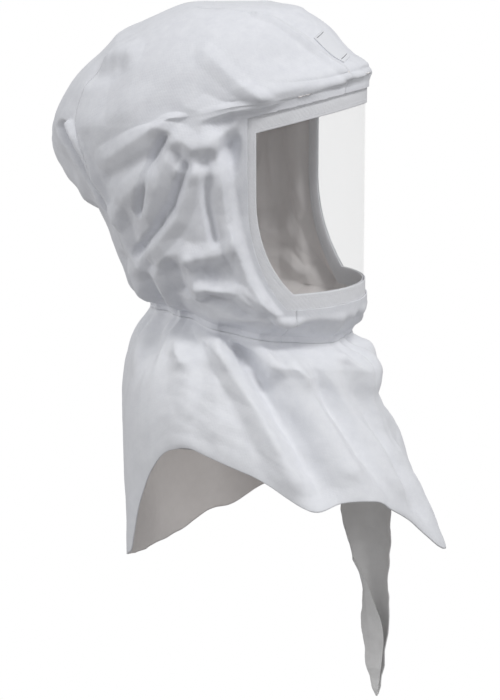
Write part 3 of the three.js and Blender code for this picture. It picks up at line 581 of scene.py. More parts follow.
# %% [markdown]
# Nonwoven cloth is a felt of fine plastic fibres pressed together in small points. Close up it
# shows the pressed dots in slanting rows, and from further away a soft mottle where the fibres
# lie thicker. A photographed texture would need seams. Procedural noise reads Object coordinates
# instead, so that the pattern runs on from panel to panel. Light passes a little way into the
# cloth, which softens the shadows.

# %% Material helpers
def node_of(tree, kind, **inputs):
    """Adds a node and sets its inputs by name."""
    node = tree.nodes.new(kind)
    for name, value in inputs.items():
        node.inputs[name.replace("_", " ")].default_value = value
    return node


def new_material(name, surface):
    """A material whose surface shader gets the constants listed by socket."""
    material = bpy.data.materials.new(name)
    material.use_nodes = True
    shader = material.node_tree.nodes["Principled BSDF"]
    for socket, value in surface.items():
        shader.inputs[socket].default_value = value
    return material


# %% Cloth
MOTTLE = dict(Scale=95.0, Detail=5.0, Roughness=0.65)
FIBRE = dict(Scale=900.0, Detail=3.0, Roughness=0.7)
CRINKLE = dict(Scale=34.0, Detail=2.5, Roughness=0.5)
EMBOSS = dict(Scale=430.0, Randomness=0.25)
CLOTH_SURFACE = {
    "Roughness": 0.82, "Specular IOR Level": 0.35, "Sheen Weight": 0.15,
    "Subsurface Weight": 0.04, "Subsurface Scale": 1.0, "Subsurface Radius": (0.0015, 0.0015, 0.0015),
}
MOTTLE_STOPS = (0.30, 0.68)
EMBOSS_TURN = tuple(math.radians(angle) for angle in (38, 21, 12))
# strength, and depth in metres
CRINKLE_BUMP, EMBOSS_BUMP, FIBRE_BUMP = (0.30, 0.0012), (0.20, 0.0006), (0.125, 0.0004)


def stack_bumps(tree, layers):
    """Bumps laid one over another: each is its height socket, its strength and its depth."""
    below = None
    for height, strength, depth in layers:
        bump = node_of(tree, "ShaderNodeBump", Strength=strength, Distance=depth)
        tree.links.new(height, bump.inputs["Height"])
        if below is not None:
            tree.links.new(below, bump.inputs["Normal"])
        below = bump.outputs["Normal"]
    return below


def cloth_material(name, color, shade, emboss=1.0, crinkled=1.0):
    """Nonwoven cloth: mottled colour, soft crinkles, embossed points and fine fibre bump."""
    material = new_material(name, CLOTH_SURFACE)
    tree = material.node_tree
    link = tree.links.new
    shader = tree.nodes["Principled BSDF"]
    place = node_of(tree, "ShaderNodeTexCoord").outputs["Object"]
    mottle = node_of(tree, "ShaderNodeTexNoise", **MOTTLE)
    fibre = node_of(tree, "ShaderNodeTexNoise", **FIBRE)
    crinkle = node_of(tree, "ShaderNodeTexNoise", **CRINKLE)
    crinkle.noise_type = "RIDGED_MULTIFRACTAL"
    turn = node_of(tree, "ShaderNodeMapping", Rotation=EMBOSS_TURN)
    dots = node_of(tree, "ShaderNodeTexVoronoi", **EMBOSS)
    for node in (mottle, fibre, crinkle, turn):
        link(place, node.inputs["Vector"])
    link(turn.outputs["Vector"], dots.inputs["Vector"])
    ramp = node_of(tree, "ShaderNodeValToRGB")
    for stop, position, tone in zip(ramp.color_ramp.elements, MOTTLE_STOPS, (shade, color)):
        stop.position = position
        stop.color = (*tone, 1.0)
    link(mottle.outputs["Fac"], ramp.inputs["Fac"])
    link(ramp.outputs["Color"], shader.inputs["Base Color"])
    relief = stack_bumps(tree, [
        (crinkle.outputs["Fac"], CRINKLE_BUMP[0] * crinkled, CRINKLE_BUMP[1]),
        (dots.outputs["Distance"], EMBOSS_BUMP[0] * emboss, EMBOSS_BUMP[1]),
        (fibre.outputs["Fac"], *FIBRE_BUMP),
    ])
    link(relief, shader.inputs["Normal"])
    return material


# %% The materials
# each cloth has a lighter and a darker tone; the cloth of the inside faces is painted warmer and lighter,
# standing in for the warm light seen inside the hood and the shrouds
hood_cloth = cloth_material("hood_cloth", (0.80, 0.81, 0.845), (0.74, 0.75, 0.79))
shroud_cloth = cloth_material("shroud_cloth", (0.85, 0.86, 0.89), (0.80, 0.81, 0.845), 0.6)
inner_cloth = cloth_material("inner_cloth", (0.88, 0.875, 0.87), (0.84, 0.835, 0.83), 0.6)
painted_warm_inside = cloth_material("painted_warm_inside", (0.90, 0.86, 0.84), (0.86, 0.82, 0.80), 0.5)
tape_cloth = cloth_material("binding_tape", (0.82, 0.825, 0.85), (0.77, 0.775, 0.80), 1.4, 0.3)
label_cloth = cloth_material("label_cloth", (0.78, 0.79, 0.82), (0.76, 0.77, 0.80), 0.4, 0.1)
# the clear sheet is too thin to bend the light, and nearly all of it goes straight on
clear_sheet = new_material("clear_sheet", {
    "Base Color": (0.80, 0.82, 0.84, 1.0), "Roughness": 0.06, "Alpha": 0.07,
})
print("materials:", len(bpy.data.materials))

# %% [markdown]
# The hood is sewn from four panels. They come from one grid whose columns bend along the seams,
# so that neighbours meet exactly, where separate grids would leave steps in the folds. The window
# is cut with flat cuts along its outline as seen from the side, the way a cutter trims a sheet
# over a block.

# %% Grid of the hood
SEAM = np.array([
    # level, front seam, back seam
    [1.00, 62, 92], [1.05, 58, 100], [1.3, 48, 114], [2.0, 32, 130], [3.2, 24, 139], [4.2, 18, 142],
    [5.0, 15, 144], [6.0, 14, 143], [8.0, 15, 138], [9.4, 15, 135], [12.0, 26, 131], [14.6, 37, 128],
    [17.5, 37, 127], [21.0, 37, 127],
], float)
FRONT_COLUMNS, SIDE_COLUMNS, BACK_COLUMNS = 60, 180, 100
CAP_ROWS, BODY_ROWS = 10, 250
SEAM_LEVEL, LAST_LEVEL = 1.0, NECK_LEVEL + 1.0
level_rows = np.concatenate([
    np.linspace(0.0, SEAM_LEVEL, CAP_ROWS, endpoint=False),
    np.linspace(SEAM_LEVEL, LAST_LEVEL, BODY_ROWS),
])
front_seam = np.interp(level_rows, SEAM[:, 0], SEAM[:, 1])[:, None]
back_seam = np.interp(level_rows, SEAM[:, 0], SEAM[:, 2])[:, None]


def sector(start, end, count):
    """Bearings of one sector's columns on every row, without the last one."""
    return mix(start, end, np.arange(count) / count)


bearing_grid = np.concatenate([
    sector(-front_seam, front_seam, FRONT_COLUMNS),
    sector(front_seam, back_seam, SIDE_COLUMNS),
    sector(back_seam, 360.0 - back_seam, BACK_COLUMNS),
    sector(360.0 - back_seam, 360.0 - front_seam, SIDE_COLUMNS),
], axis=1)
level_grid = np.broadcast_to(level_rows[:, None], bearing_grid.shape)
hood_points = hood(np.hstack([bearing_grid, bearing_grid[:, :1] + 360.0]),
                   np.hstack([level_grid, level_grid[:, :1]]))[:, :-1]
COLUMNS = bearing_grid.shape[1]
LEFT_START = FRONT_COLUMNS
BACK_START = LEFT_START + SIDE_COLUMNS
RIGHT_START = BACK_START + BACK_COLUMNS
print("hood grid:", hood_points.shape)


# %% Cut the window
CUT_MARGIN = 12.0
SAME_PLACE = 1e-7


def inside_outline(y, z, outline):
    """True where a point of the side view lies inside a closed outline, by crossings."""
    inside = np.zeros(y.shape, bool)
    for (y0, z0), (y1, z1) in zip(outline, np.roll(outline, -1, 0)):
        crosses = (z0 > z) != (z1 > z)
        with np.errstate(divide="ignore", invalid="ignore"):
            at = y0 + (z - z0) * (y1 - y0) / (z1 - z0)
        inside ^= crosses & (y < at)
    return inside


def cut_window(obj, outline):
    """Cuts the sheet along each edge of the outline and takes out the faces inside it."""
    mesh = bmesh.new()
    mesh.from_mesh(obj.data)
    limit = (outline[:, 0].max() + CUT_MARGIN) * MM
    for (y0, z0), (y1, z1) in zip(outline[1:], np.roll(outline, -1, 0)[1:]):
        near = [face for face in mesh.faces if face.calc_center_median().y < limit]
        edges = list({edge for face in near for edge in face.edges})
        corners = list({vert for face in near for vert in face.verts})
        bmesh.ops.bisect_plane(mesh, geom=near + edges + corners, dist=SAME_PLACE,
                               plane_co=(0, y0 * MM, z0 * MM), plane_no=(0, -(z1 - z0), y1 - y0))
    centres = np.array([face.calc_center_median()[:] for face in mesh.faces]) / MM
    gone = inside_outline(centres[:, 1], centres[:, 2], outline) & (centres[:, 1] < limit / MM)
    mesh.faces.ensure_lookup_table()
    bmesh.ops.delete(mesh, geom=[mesh.faces[i] for i in np.flatnonzero(gone)], context="FACES")
    for face in mesh.faces:
        face.smooth = True
    mesh.to_mesh(obj.data)
    mesh.free()


# %% The four panels
CHIN_LEVEL = 13.0


def panel(name, columns, rows, extra=None):
    """One panel of the hood's grid as its own sheet: its columns from one row to another."""
    faces = grid_faces(len(level_rows), COLUMNS, round_columns=True)
    face_row = faces[:, 0] // COLUMNS
    face_column = faces[:, 0] % COLUMNS
    chosen = np.isin(face_column, columns) & (face_row >= rows[0]) & (face_row < rows[1])
    if extra is not None:
        chosen |= extra(face_column, face_row)
    used, faces = np.unique(faces[chosen], return_inverse=True)
    return add_mesh(name, hood_points.reshape(-1, 3)[used], faces.reshape(-1, 4), hood_cloth)


hood_cut = window_outline(TAPE_TOP - TAPE_LAP, TAPE_SIDE - TAPE_LAP, TAPE_BOTTOM - TAPE_LAP)
last_row = len(level_rows)
chin_row = int(np.searchsorted(level_rows, CHIN_LEVEL))
front_columns, left_columns, back_columns, right_columns = np.split(
    np.arange(COLUMNS), [LEFT_START, BACK_START, RIGHT_START])
panels = {
    "crown_panel": panel("crown_cloth", back_columns, (CAP_ROWS, last_row), lambda column, row:
                         (row < CAP_ROWS) | ((column < FRONT_COLUMNS) & (row < chin_row))),
    "side_panel_right": panel("side_cloth_right", right_columns, (CAP_ROWS, last_row)),
    "side_panel_left": panel("side_cloth_left", left_columns, (CAP_ROWS, last_row)),
    "chin_panel": panel("chin_cloth", front_columns, (chin_row, last_row)),
}
for node, obj in panels.items():
    cut_window(obj, hood_cut)
    # the inside faces get the painted warm tone that stands in for the light inside the hood
    add_wall(obj, CLOTH, painted_warm_inside)
    finish_piece(obj, "hood_cloth", node)
    print(obj.name, "faces:", len(obj.data.polygons))

# %% [markdown]
# The visor is a thin clear sheet, cut flat and bent to a cylinder by its sewn edge. It could be
# cut from a whole cylinder, but a grid of angle and height between the upper and the lower edge
# of its outline gives clean, even faces that reflect without ripples.

# %% Visor
VISOR_COLUMNS, VISOR_ROWS = 120, 40


def cylinder_point(angle, radius, z):
    """Point of an upright cylinder round the visor's axis, at an angle from the front."""
    return np.stack([radius * np.sin(angle), VISOR_AXIS_Y - radius * np.cos(angle), z + 0 * angle], -1)


def cylinder_angle(y):
    """Angle from the front at which the visor's cylinder reaches a depth y."""
    return np.arccos(np.clip((VISOR_AXIS_Y - y) / VISOR_RADIUS, -1.0, 1.0))


def cylinder_depth(angle):
    """Depth y that the visor's cylinder reaches at an angle from the front."""
    return VISOR_AXIS_Y - VISOR_RADIUS * np.cos(angle)


def make_visor():
    """Sheet between the outline's two edges, its columns closer together at the sides."""
    most = cylinder_angle(WINDOW_SIDE_Y + VISOR_TUCK)
    angle = most * np.sin(np.linspace(-1.0, 1.0, VISOR_COLUMNS) * math.pi / 2)
    outline = window_outline(VISOR_TUCK, VISOR_TUCK, VISOR_TUCK, OUTLINE_STEPS)
    y = cylinder_depth(angle)
    low = np.interp(y, outline[1:-1, 0], outline[1:-1, 1])
    high = window_top(y) + VISOR_TUCK
    z = mix(high, low, np.linspace(0.0, 1.0, VISOR_ROWS)[:, None])
    points = cylinder_point(np.broadcast_to(angle, z.shape), VISOR_RADIUS, z)
    obj = add_mesh("visor_sheet", points, grid_faces(VISOR_ROWS, VISOR_COLUMNS), clear_sheet)
    add_wall(obj, VISOR_SHEET)
    finish_piece(obj, "clear_sheet", "visor")
    print("visor, mm wide and high:", np.ptp(points[..., 0]).round(), np.ptp(points[..., 2]).round())


make_visor()

# %% [markdown]
# The tape is folded round the visor's edge like the binding of a rug. Its section is a thick U,
# carried round the window's outline. A curve with a bevel would turn the section at the corners.
# Here the same place on the outline, grown by different amounts, gives the inner and the outer
# edge, so the corners mitre by themselves.

# %% Binding tape
TAPE_PROFILE = np.array([
    # share of the tape's width, radius against the visor's outer face
    [0.00, 0.9], [0.02, 1.25], [0.08, 1.30], [0.20, 1.12], [0.30, 1.30], [0.55, 1.38], [0.72, 1.30],
    [0.80, 1.14], [0.88, 1.28], [0.97, 1.2], [1.00, 0.6], [1.00, -1.4], [0.97, -2.0], [0.50, -2.1],
    [0.03, -2.1], [0.00, -1.7], [0.00, -1.1], [0.80, -1.1], [0.80, 0.3], [0.00, 0.3],
])
PUCKER_LUMPS, PUCKER_RISE = (0.22, 6.0, 1.0), 1.0


def half_outline(top, side, bottom):
    """The outline's path on the cylinder from the middle of its bottom to that of its top."""
    outline = window_outline(top, side, bottom, OUTLINE_STEPS)
    corner, upper = outline[2:-1], outline[-1]
    bottom_share = np.linspace(0.0, 1.0, OUTLINE_STEPS, endpoint=False)
    bottom_y = cylinder_depth(cylinder_angle(corner[0, 0]) * bottom_share)
    lower_path = np.stack([bottom_y, np.full(OUTLINE_STEPS, corner[0, 1])], -1)
    share = np.linspace(0.0, 1.0, OUTLINE_STEPS)[1:]
    side_path = mix(corner[-1], upper, share[:, None])
    top_y = cylinder_depth(cylinder_angle(upper[0]) * (1 - share))
    top_path = np.stack([top_y, window_top(top_y) + top], -1)
    return np.vstack([lower_path, corner, side_path, top_path])


def round_window(share, rise):
    """Closed path round the window at a share of the tape's width, so far off the visor's face:
    up the left side, over the top and down the right."""
    half = half_outline(TAPE_TOP * share, TAPE_SIDE * share, TAPE_BOTTOM * share)
    angle = cylinder_angle(half[:, 0])
    left_half = cylinder_point(angle, VISOR_RADIUS + rise, half[:, 1])
    right_half = cylinder_point(-angle, VISOR_RADIUS + rise, half[:, 1])
    return np.vstack([left_half, right_half[-2:0:-1]])


def from_axis(path):
    """Level direction from the visor's axis out to each point."""
    outward = path - [0.0, VISOR_AXIS_Y, 0.0]
    outward[:, 2] = 0.0
    return outward / np.linalg.norm(outward, axis=1, keepdims=True)


def make_binding():
    """U-shaped section carried round the window, with a slight pucker along the stitching."""
    rings = []
    for share, rise in TAPE_PROFILE:
        path = round_window(share, rise)
        pucker = lumps(path, *PUCKER_LUMPS) * (rise > PUCKER_RISE)
        rings.append(path + from_axis(path) * pucker[:, None])
    points = np.stack(rings)
    faces = grid_faces(len(TAPE_PROFILE), points.shape[1], True, True)
    obj = add_mesh("binding_strip", points, faces[:, ::-1], tape_cloth)
    finish_piece(obj, "binding_tape", "visor_binding")
    print("tape faces:", len(faces))


make_binding()


# %% [markdown]
# A sewing machine leaves short stitches that sink in at both ends. A bump map would look flat
# from the side, so each stitch is a small six-sided spindle, and a few hundred of them are
# written as one mesh.

# %% Stitches along the tape
STITCH_PITCH, STITCH_LENGTH, STITCH_THICK = 3.4, 2.3, 0.5
STITCH_SWELL = np.array([0.15, 0.85, 1.0, 0.85, 0.15])
STITCH_SIDES = 6
STITCH_CAP = np.array([[0, 1, 2, 3], [0, 3, 4, 5]])
STITCH_SHARES = (0.20, 0.80)
STITCH_RISES = (1.25, -2.15)


def stitch_row(path):
    """Spindles along a path: rings across it whose radius swells in the middle of each stitch."""
    run = np.concatenate([[0.0], np.cumsum(np.linalg.norm(np.diff(path, axis=0), axis=1))])
    starts = np.arange(0.0, run[-1] - STITCH_LENGTH, STITCH_PITCH)
    places = starts[:, None] + np.linspace(0.0, 1.0, len(STITCH_SWELL)) * STITCH_LENGTH
    centre, out = (np.stack([np.interp(places, run, line[:, k]) for k in range(3)], -1)
                   for line in (path, from_axis(path)))
    ahead = np.gradient(centre, axis=1)
    ahead /= np.linalg.norm(ahead, axis=-1, keepdims=True)
    across = np.cross(out, ahead)
    turn = np.radians(np.arange(STITCH_SIDES) * 360.0 / STITCH_SIDES)[:, None]
    ring = across[:, :, None] * np.cos(turn) + out[:, :, None] * np.sin(turn)
    return centre[:, :, None] + ring * (STITCH_SWELL * STITCH_THICK / 2)[None, :, None, None]


def make_stitches():
    """Two rows of stitches on the tape's face, and the same two inside."""
    rows = []
    for share in STITCH_SHARES:
        for rise in STITCH_RISES:
            path = round_window(share, rise)
            rows.append(stitch_row(np.vstack([path, path[:1]])))
    points = np.concatenate(rows)
    count, rings = points.shape[:2]
    size = rings * STITCH_SIDES
    far_cap = STITCH_CAP[:, [0, 3, 2, 1]] + size - STITCH_SIDES
    one = np.vstack([grid_faces(rings, STITCH_SIDES, round_columns=True), STITCH_CAP, far_cap])
    faces = (one[None] + (np.arange(count) * size)[:, None, None]).reshape(-1, 4)
    obj = add_mesh("binding_stitches", points, faces, tape_cloth)
    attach(obj, "root")
    print("stitches:", count)


make_stitches()

# %% [markdown]
# Round the neck the hood's cuff, a gathered casing and the two shrouds are sewn together. The
# shrouds are cut as broad rings and hang from it in folds that start at the gathers and open
# towards the hem.

# %% The neck line
SHROUD_CLOTH = 1.2
CASING, CASING_HEIGHT, CASING_LAP = 2.0, 13.0, 4.0
CASING_INSET = CLOTH + GAP
INNER_INSET = CASING_INSET + CASING + GAP
CASING_SIDES, CASING_STEP = 16, 0.75


def gathered_neck(bearing):
    """The middle of the cuff, drawn in towards the pole by its gathers."""
    level = np.full(bearing.shape, (NECK_LEVEL + LAST_LEVEL) / 2)
    return smooth_hood(bearing, level) + towards_pole(bearing) * gather_depth(bearing, level)[..., None]


def neck(bearing, inset, lower):
    """The cuff's lower edge, set in by so much and lowered by so much."""
    bearing = np.asarray(bearing, float)
    edge = gathered_neck(bearing)
    around = gathered_neck(bearing + 1) - gathered_neck(bearing - 1)
    normal = np.stack([around[..., 1], -around[..., 0], 0 * around[..., 0]], -1)
    normal /= np.linalg.norm(normal, axis=-1, keepdims=True)
    edge[..., 2] = smooth_hood(bearing, LAST_LEVEL)[..., 2] - lower
    return edge - normal * inset


def make_casing():
    """A closed band whose section is an upright ellipse that follows the neck line."""
    bearing = np.arange(0.0, 360.0, CASING_STEP)
    rows = []
    for angle in np.linspace(0.0, 2 * math.pi, CASING_SIDES, endpoint=False):
        inset = CASING_INSET + CASING / 2 - math.cos(angle) * CASING / 2
        lower = CASING_HEIGHT / 2 - CASING_LAP - math.sin(angle) * CASING_HEIGHT / 2
        rows.append(neck(bearing, inset, lower))
    obj = add_mesh("neck_band", np.stack(rows), grid_faces(CASING_SIDES, len(bearing), True, True),
                   hood_cloth)
    finish_piece(obj, "hood_cloth", "neck_casing")
    print("casing faces:", len(obj.data.polygons))


make_casing()

# %% [markdown]
# A shroud is a broad ring of cloth, gathered on to the casing. It spreads over the shoulders and
# ends in an uneven hem. Its reach and its drop at each bearing are tables read off the
# photograph, and its folds are paths, like the hood's. A cloth simulation would need a body under
# it, and would hang otherwise each time.

# %% Hems and spread of the shrouds
SHROUD_DROP, SHROUD_REACH, INNER_DROP, INNER_REACH = 209.0, 243.0, 150.0, 168.0
OUTER_HEM = np.array([
    # bearing, reach, drop
    [-180, 0.325, 1.140], [-162, 0.345, 1.124], [-145, 0.385, 1.090], [-128, 0.428, 1.045],
    [-113, 0.505, 0.981], [-108, 0.530, 0.789], [-101, 0.547, 0.598], [-91, 0.577, 0.445],
    [-81, 0.616, 0.402], [-69, 0.684, 0.459], [-58, 0.800, 0.507], [-47, 0.926, 0.646],
    [-38, 0.938, 0.608], [-29, 0.921, 0.627], [-15, 0.919, 0.775], [-2, 1.000, 1.000],
    [10, 0.920, 0.880], [22, 0.825, 0.745], [34, 0.800, 0.675], [47, 0.830, 0.670],
    [60, 0.780, 0.732], [75, 0.720, 0.861], [93, 0.664, 0.981], [103, 0.580, 1.067],
    [113, 0.510, 1.060], [128, 0.473, 1.150], [145, 0.383, 1.155], [162, 0.350, 1.150],
    [180, 0.325, 1.140],
])
INNER_HEM = np.array([
    # bearing, reach, drop
    [-180, 0.43, 0.77], [-145, 0.50, 0.77], [-113, 0.66, 0.72], [-95, 0.78, 0.64], [-81, 0.83, 0.62],
    [-69, 0.88, 0.66], [-55, 0.95, 0.73], [-35, 1.00, 0.82], [-10, 1.00, 0.93], [12, 0.98, 0.97],
    [36, 0.95, 0.97], [60, 0.90, 0.90], [90, 0.80, 0.85], [120, 0.64, 0.82], [150, 0.48, 0.79],
    [180, 0.43, 0.77],
])

# %% How the shrouds open downwards
OUTER_FLARE = np.array([
    # down, then the share of the hem's spread at the front, side and back
    [0.00, 0.00, 0.00, 0.00], [0.02, 0.00, 0.00, 0.00], [0.05, 0.15, 0.11, 0.30],
    [0.12, 0.33, 0.33, 0.90], [0.20, 0.34, 0.50, 1.20], [0.30, 0.32, 0.63, 1.32],
    [0.42, 0.41, 0.75, 1.32], [0.54, 0.53, 0.84, 1.26], [0.67, 0.68, 0.91, 1.18],
    [0.80, 0.83, 0.96, 1.06], [0.91, 0.93, 0.99, 1.02], [1.00, 1.00, 1.00, 1.00],
])
INNER_FLARE = np.array([
    # down, then the share of the hem's spread at the front, side and back
    [0.00, 0.00, 0.00, 0.00], [0.12, 0.00, 0.00, 0.00], [0.34, 0.30, 0.40, 0.55],
    [0.66, 0.70, 0.78, 0.90], [1.00, 1.00, 1.00, 1.00],
])

# %% Folds of the shrouds
SHROUD_FOLDS = [
    # half-width in degrees, height mm, then its path as bearing and share of the drop
    (6, 9.0, [(-84, 0.02), (-81, 0.30), (-81, 0.61), (-84, 0.95)]),
    (4, -5.0, [(-78, 0.10), (-76, 0.40), (-78, 0.85)]),
    (4, 5.0, [(-77, 0.02), (-71, 0.30), (-70, 0.60), (-71, 0.95)]),
    (4, 17.0, [(-72, 0.04), (-64, 0.25), (-57, 0.47), (-50, 0.80), (-48, 1.00)]),
    (4, -20.0, [(-60, 0.06), (-52, 0.22), (-46, 0.58), (-43, 0.90)]),
    (4, 16.0, [(-45, 0.03), (-38, 0.20), (-35, 0.56), (-33, 0.81), (-31, 1.00)]),
    (3, -8.0, [(-31, 0.12), (-29, 0.40), (-27, 0.80)]),
    (4, 9.0, [(-32, 0.05), (-23, 0.35), (-17, 0.60), (-14, 0.95)]),
    (4, -6.0, [(-17, 0.10), (-10, 0.45), (-8, 0.85)]),
    (4, 7.0, [(-13, 0.04), (-5, 0.40), (-2, 1.00)]),
    (5, -8.0, [(10, 0.08), (14, 0.90)]),
    (6, 8.0, [(24, 0.04), (32, 0.95)]),
    (5, -7.0, [(40, 0.08), (46, 0.85)]),
    (7, 8.0, [(58, 0.04), (64, 0.95)]),
    (6, -6.0, [(78, 0.10), (82, 0.85)]),
    (7, 6.0, [(98, 0.05), (101, 0.95)]),
    (7, -3.0, [(118, 0.15), (120, 0.80)]),
    (9, 3.0, [(142, 0.10), (144, 0.95)]),
    (9, -2.5, [(164, 0.15), (163, 0.90)]),
    (9, 2.5, [(-168, 0.10), (-166, 0.95)]),
    (9, -2.0, [(-146, 0.15), (-144, 0.85)]),
    (5, 8.0, [(-124, 0.02), (-120, 0.14)]),
    (4, -9.0, [(-114, 0.03), (-109, 0.16)]),
    (4, 9.0, [(-104, 0.01), (-96, 0.10), (-88, 0.24)]),
    (4, -9.0, [(-92, 0.02), (-82, 0.12)]),
    (3, 8.0, [(-72, 0.01), (-66, 0.14)]),
    (3, -8.0, [(-64, 0.02), (-58, 0.14)]),
    (3, 7.0, [(-54, 0.01), (-50, 0.12)]),
]

# %% The shroud's surface
HEM_SOFT = (-3.0, -1.5, 0.0, 1.5, 3.0)
ROW_SOFT = 0.035 * np.linspace(-1.0, 1.0, 11)
PATH_FADE, SHROUD_TIP, FOLD_GROWTH = 0.08, 0.12, 0.12
HEM_RANGE, HEM_FLATTENING = (0.75, 1.0), 0.5
SPREAD_START = 0.04


def hem_at(hem, bearing, column):
    """Straight blend between the hem's stops, averaged over a few degrees to each side."""
    total = sum(np.interp(wrapped(bearing + step), hem[:, 0], hem[:, column]) for step in HEM_SOFT)
    return total / len(HEM_SOFT)


def soft_row(flare, down, column):
    """Straight blend of the flare's rows, averaged over places a little up and down."""
    total = sum(np.interp(down + step, flare[:, 0], flare[:, column]) for step in ROW_SOFT)
    return total / len(ROW_SOFT)


def shroud_fold(bearing, down, straight):
    """Ridges and valleys that run down from the gathers, their width in degrees of bearing."""
    height = np.zeros(np.broadcast(bearing, down).shape)
    for width, size, path in SHROUD_FOLDS:
        stops = np.array(path, float)
        line = np.interp(down, stops[:, 1], stops[:, 0])
        past = np.maximum(np.maximum(stops[0, 1] - down, down - stops[-1, 1]), 0.0) / PATH_FADE
        away = np.hypot(wrapped(bearing - line) / width, SHROUD_TIP) - SHROUD_TIP
        height += size * tent(away) * np.exp(-past ** 2)
    grown = ease(down, straight, straight + FOLD_GROWTH)
    return height * grown * (1 - HEM_FLATTENING * ease(down, *HEM_RANGE))


def shroud(bearing, down, inset, start, hem, drop, reach, flare, folds, straight):
    """A shroud's outer face: from the neck, down 0, out and down by its flare to the hem, down 1."""
    top = neck(bearing, inset, start)
    front_z = neck(np.array(0.0), inset, start)[2]
    hem_z = front_z - hem_at(hem, bearing, 2) * drop
    spread = [soft_row(flare, down, k) * ease(down, 0.0, SPREAD_START) for k in (1, 2, 3)]
    neck_reach = np.hypot(top[..., 0], top[..., 1] - POLE_Y)
    out = round_values(*spread, bearing) * (hem_at(hem, bearing, 1) * reach - neck_reach)
    out = out + folds * shroud_fold(bearing, down, straight)
    points = top - towards_pole(bearing) * out[..., None]
    points[..., 2] = mix(top[..., 2], hem_z, down)
    return points


# %% Creases and fine gathers of a shroud
LOOSE_RUN = 0.25
BACK_BEARINGS, BACK_CALM, BACK_GATHERS = (80.0, 105.0), 0.35, 0.4
SHROUD_GATHERS, GATHERS_FULL = -4.5, 0.08
GATHER_RUN, GATHER_RUN_WAVES = 0.26, [(0.14, 6, 15)]
# height, size, number of directions and seed of each layer of facets
LARGE_CREASES, NECK_CREASES = [(4.5, 85.0, 3, 6)], [(3.0, 15.0, 3, 5)]
SMALL_CREASES = [(1.8, 36.0, 3, 9), (0.6, 14.0, 3, 2)]
NECK_RANGE, CALM_RANGE, HEM_CALM = (0.10, 0.32), (0.8, 1.0), 0.7
SHROUD_WEAR, SHROUD_WEAR_LUMPS = 0.65, (0.5, 60.0, 3.3)


def shroud_grid(columns, rows, **form):
    """Grid of a shroud with creases and fine gathers added to its folds."""
    bearing, down = np.meshgrid(np.arange(columns) * 360.0 / columns, np.linspace(0.0, 1.0, rows))
    points = shroud(bearing, down, **form)
    normal = normals_of(points, closed=True)
    loose = ease(down, form["straight"], form["straight"] + LOOSE_RUN)
    behind = ease(np.abs(wrapped(bearing)), *BACK_BEARINGS)
    crumple = creases(points, LARGE_CREASES)
    crumple += creases(points, SMALL_CREASES) * (1 - HEM_CALM * ease(down, *CALM_RANGE))
    crumple += creases(points, NECK_CREASES) * (1 - ease(down, *NECK_RANGE))
    worn = SHROUD_WEAR + lumps(points, *SHROUD_WEAR_LUMPS)
    fine = SHROUD_GATHERS * gather_wave(bearing) * mix(1.0, BACK_GATHERS, behind)
    fine = fine * ease(down, form["straight"], GATHERS_FULL)
    fine = fine * (1 - ease(down, GATHERS_FULL, waves(bearing, GATHER_RUN_WAVES, GATHER_RUN)))
    lift = loose * crumple * worn * mix(1.0, BACK_CALM, behind) + fine
    return points + normal * lift[..., None] * form["folds"]


# %% Outer shroud
OUTER = dict(inset=CLOTH - SHROUD_CLOTH, start=GAP, hem=OUTER_HEM, drop=SHROUD_DROP, reach=SHROUD_REACH,
             flare=OUTER_FLARE, folds=1.0, straight=0.02)
OUTER_COLUMNS, OUTER_ROWS = 340, 124


def sheet_area(points, closed=True):
    """Area of a grid in square metres: the sum of its cells' cross products."""
    right = (np.roll(points, -1, 1) if closed else points[:, 1:]) - (points if closed else points[:, :-1])
    down = points[1:] - points[:-1]
    width = right.shape[1]
    return float(np.linalg.norm(np.cross(right[:-1], down[:, :width]), axis=-1).sum()) * MM * MM


outer_points = shroud_grid(OUTER_COLUMNS, OUTER_ROWS, **OUTER)
outer = add_mesh("shroud_cloth_outer", outer_points,
                 grid_faces(OUTER_ROWS, OUTER_COLUMNS, round_columns=True), shroud_cloth)
# the inside faces get the painted warm tone that stands in for the light inside the shroud
add_wall(outer, SHROUD_CLOTH, painted_warm_inside)
finish_piece(outer, "shroud_cloth", "outer_shroud")
print("outer shroud, square metres:", round(sheet_area(outer_points), 4))

# %% [markdown]
# The inner shroud hangs inside. At the front left it runs out into a long tail that has curled
# up lengthwise: a hollow back layer, and a flap that wraps over it further down. The tail is a
# strip whose middle line and width are read off the photograph, and its section is worked out
# for each height.

# %% The tail's shape
TAIL_LENGTH, TAIL_WIDTH, TAIL_X, TAIL_Y = 390.0, 57.0, 60.0, -125.0
TAIL_FROM, TAIL_TO = 14.0, 35.0
TAIL = np.array([
    # down, then forward, left and width as shares of the tail's width
    [0.350, 0.00, 0.00, 1.00], [0.375, 0.00, 0.00, 1.00], [0.430, 0.00, 0.00, 1.00],
    [0.500, 0.01, 0.00, 0.97], [0.580, 0.08, 0.00, 0.80], [0.650, 0.15, 0.02, 0.60],
    [0.710, 0.20, 0.04, 0.46], [0.780, 0.20, 0.04, 0.52], [0.850, 0.20, 0.04, 0.44],
    [0.920, 0.21, 0.02, 0.33], [0.970, 0.24, 0.02, 0.16], [1.000, 0.26, 0.03, 0.06],
])
SEWN_END, HELD_END, FREE_START = TAIL[0, 0], TAIL[1, 0], TAIL[3, 0]
SEWN_LAP = 0.07
WRAP_RANGE, WRAP_SHARE, WRAP_REACH = (0.60, 0.86), 0.55, 1.9
WRAP_LIFT, WRAP_SWELL, WRAP_GROWTH, WRAP_EDGE = 5.0, 0.25, 3.0, 2.5
TAIL_DEPTH, TAIL_HOLLOW = 0.75, 0.8
TAIL_CREASES = [(1.8, 30.0, 3, 4), (0.5, 11.0, 4, 1)]
SMALLEST = 1e-6
INNER = dict(inset=INNER_INSET, start=-CUFF_HEIGHT / 2, hem=INNER_HEM, drop=INNER_DROP, reach=INNER_REACH,
             flare=INNER_FLARE, folds=0.4, straight=0.12)


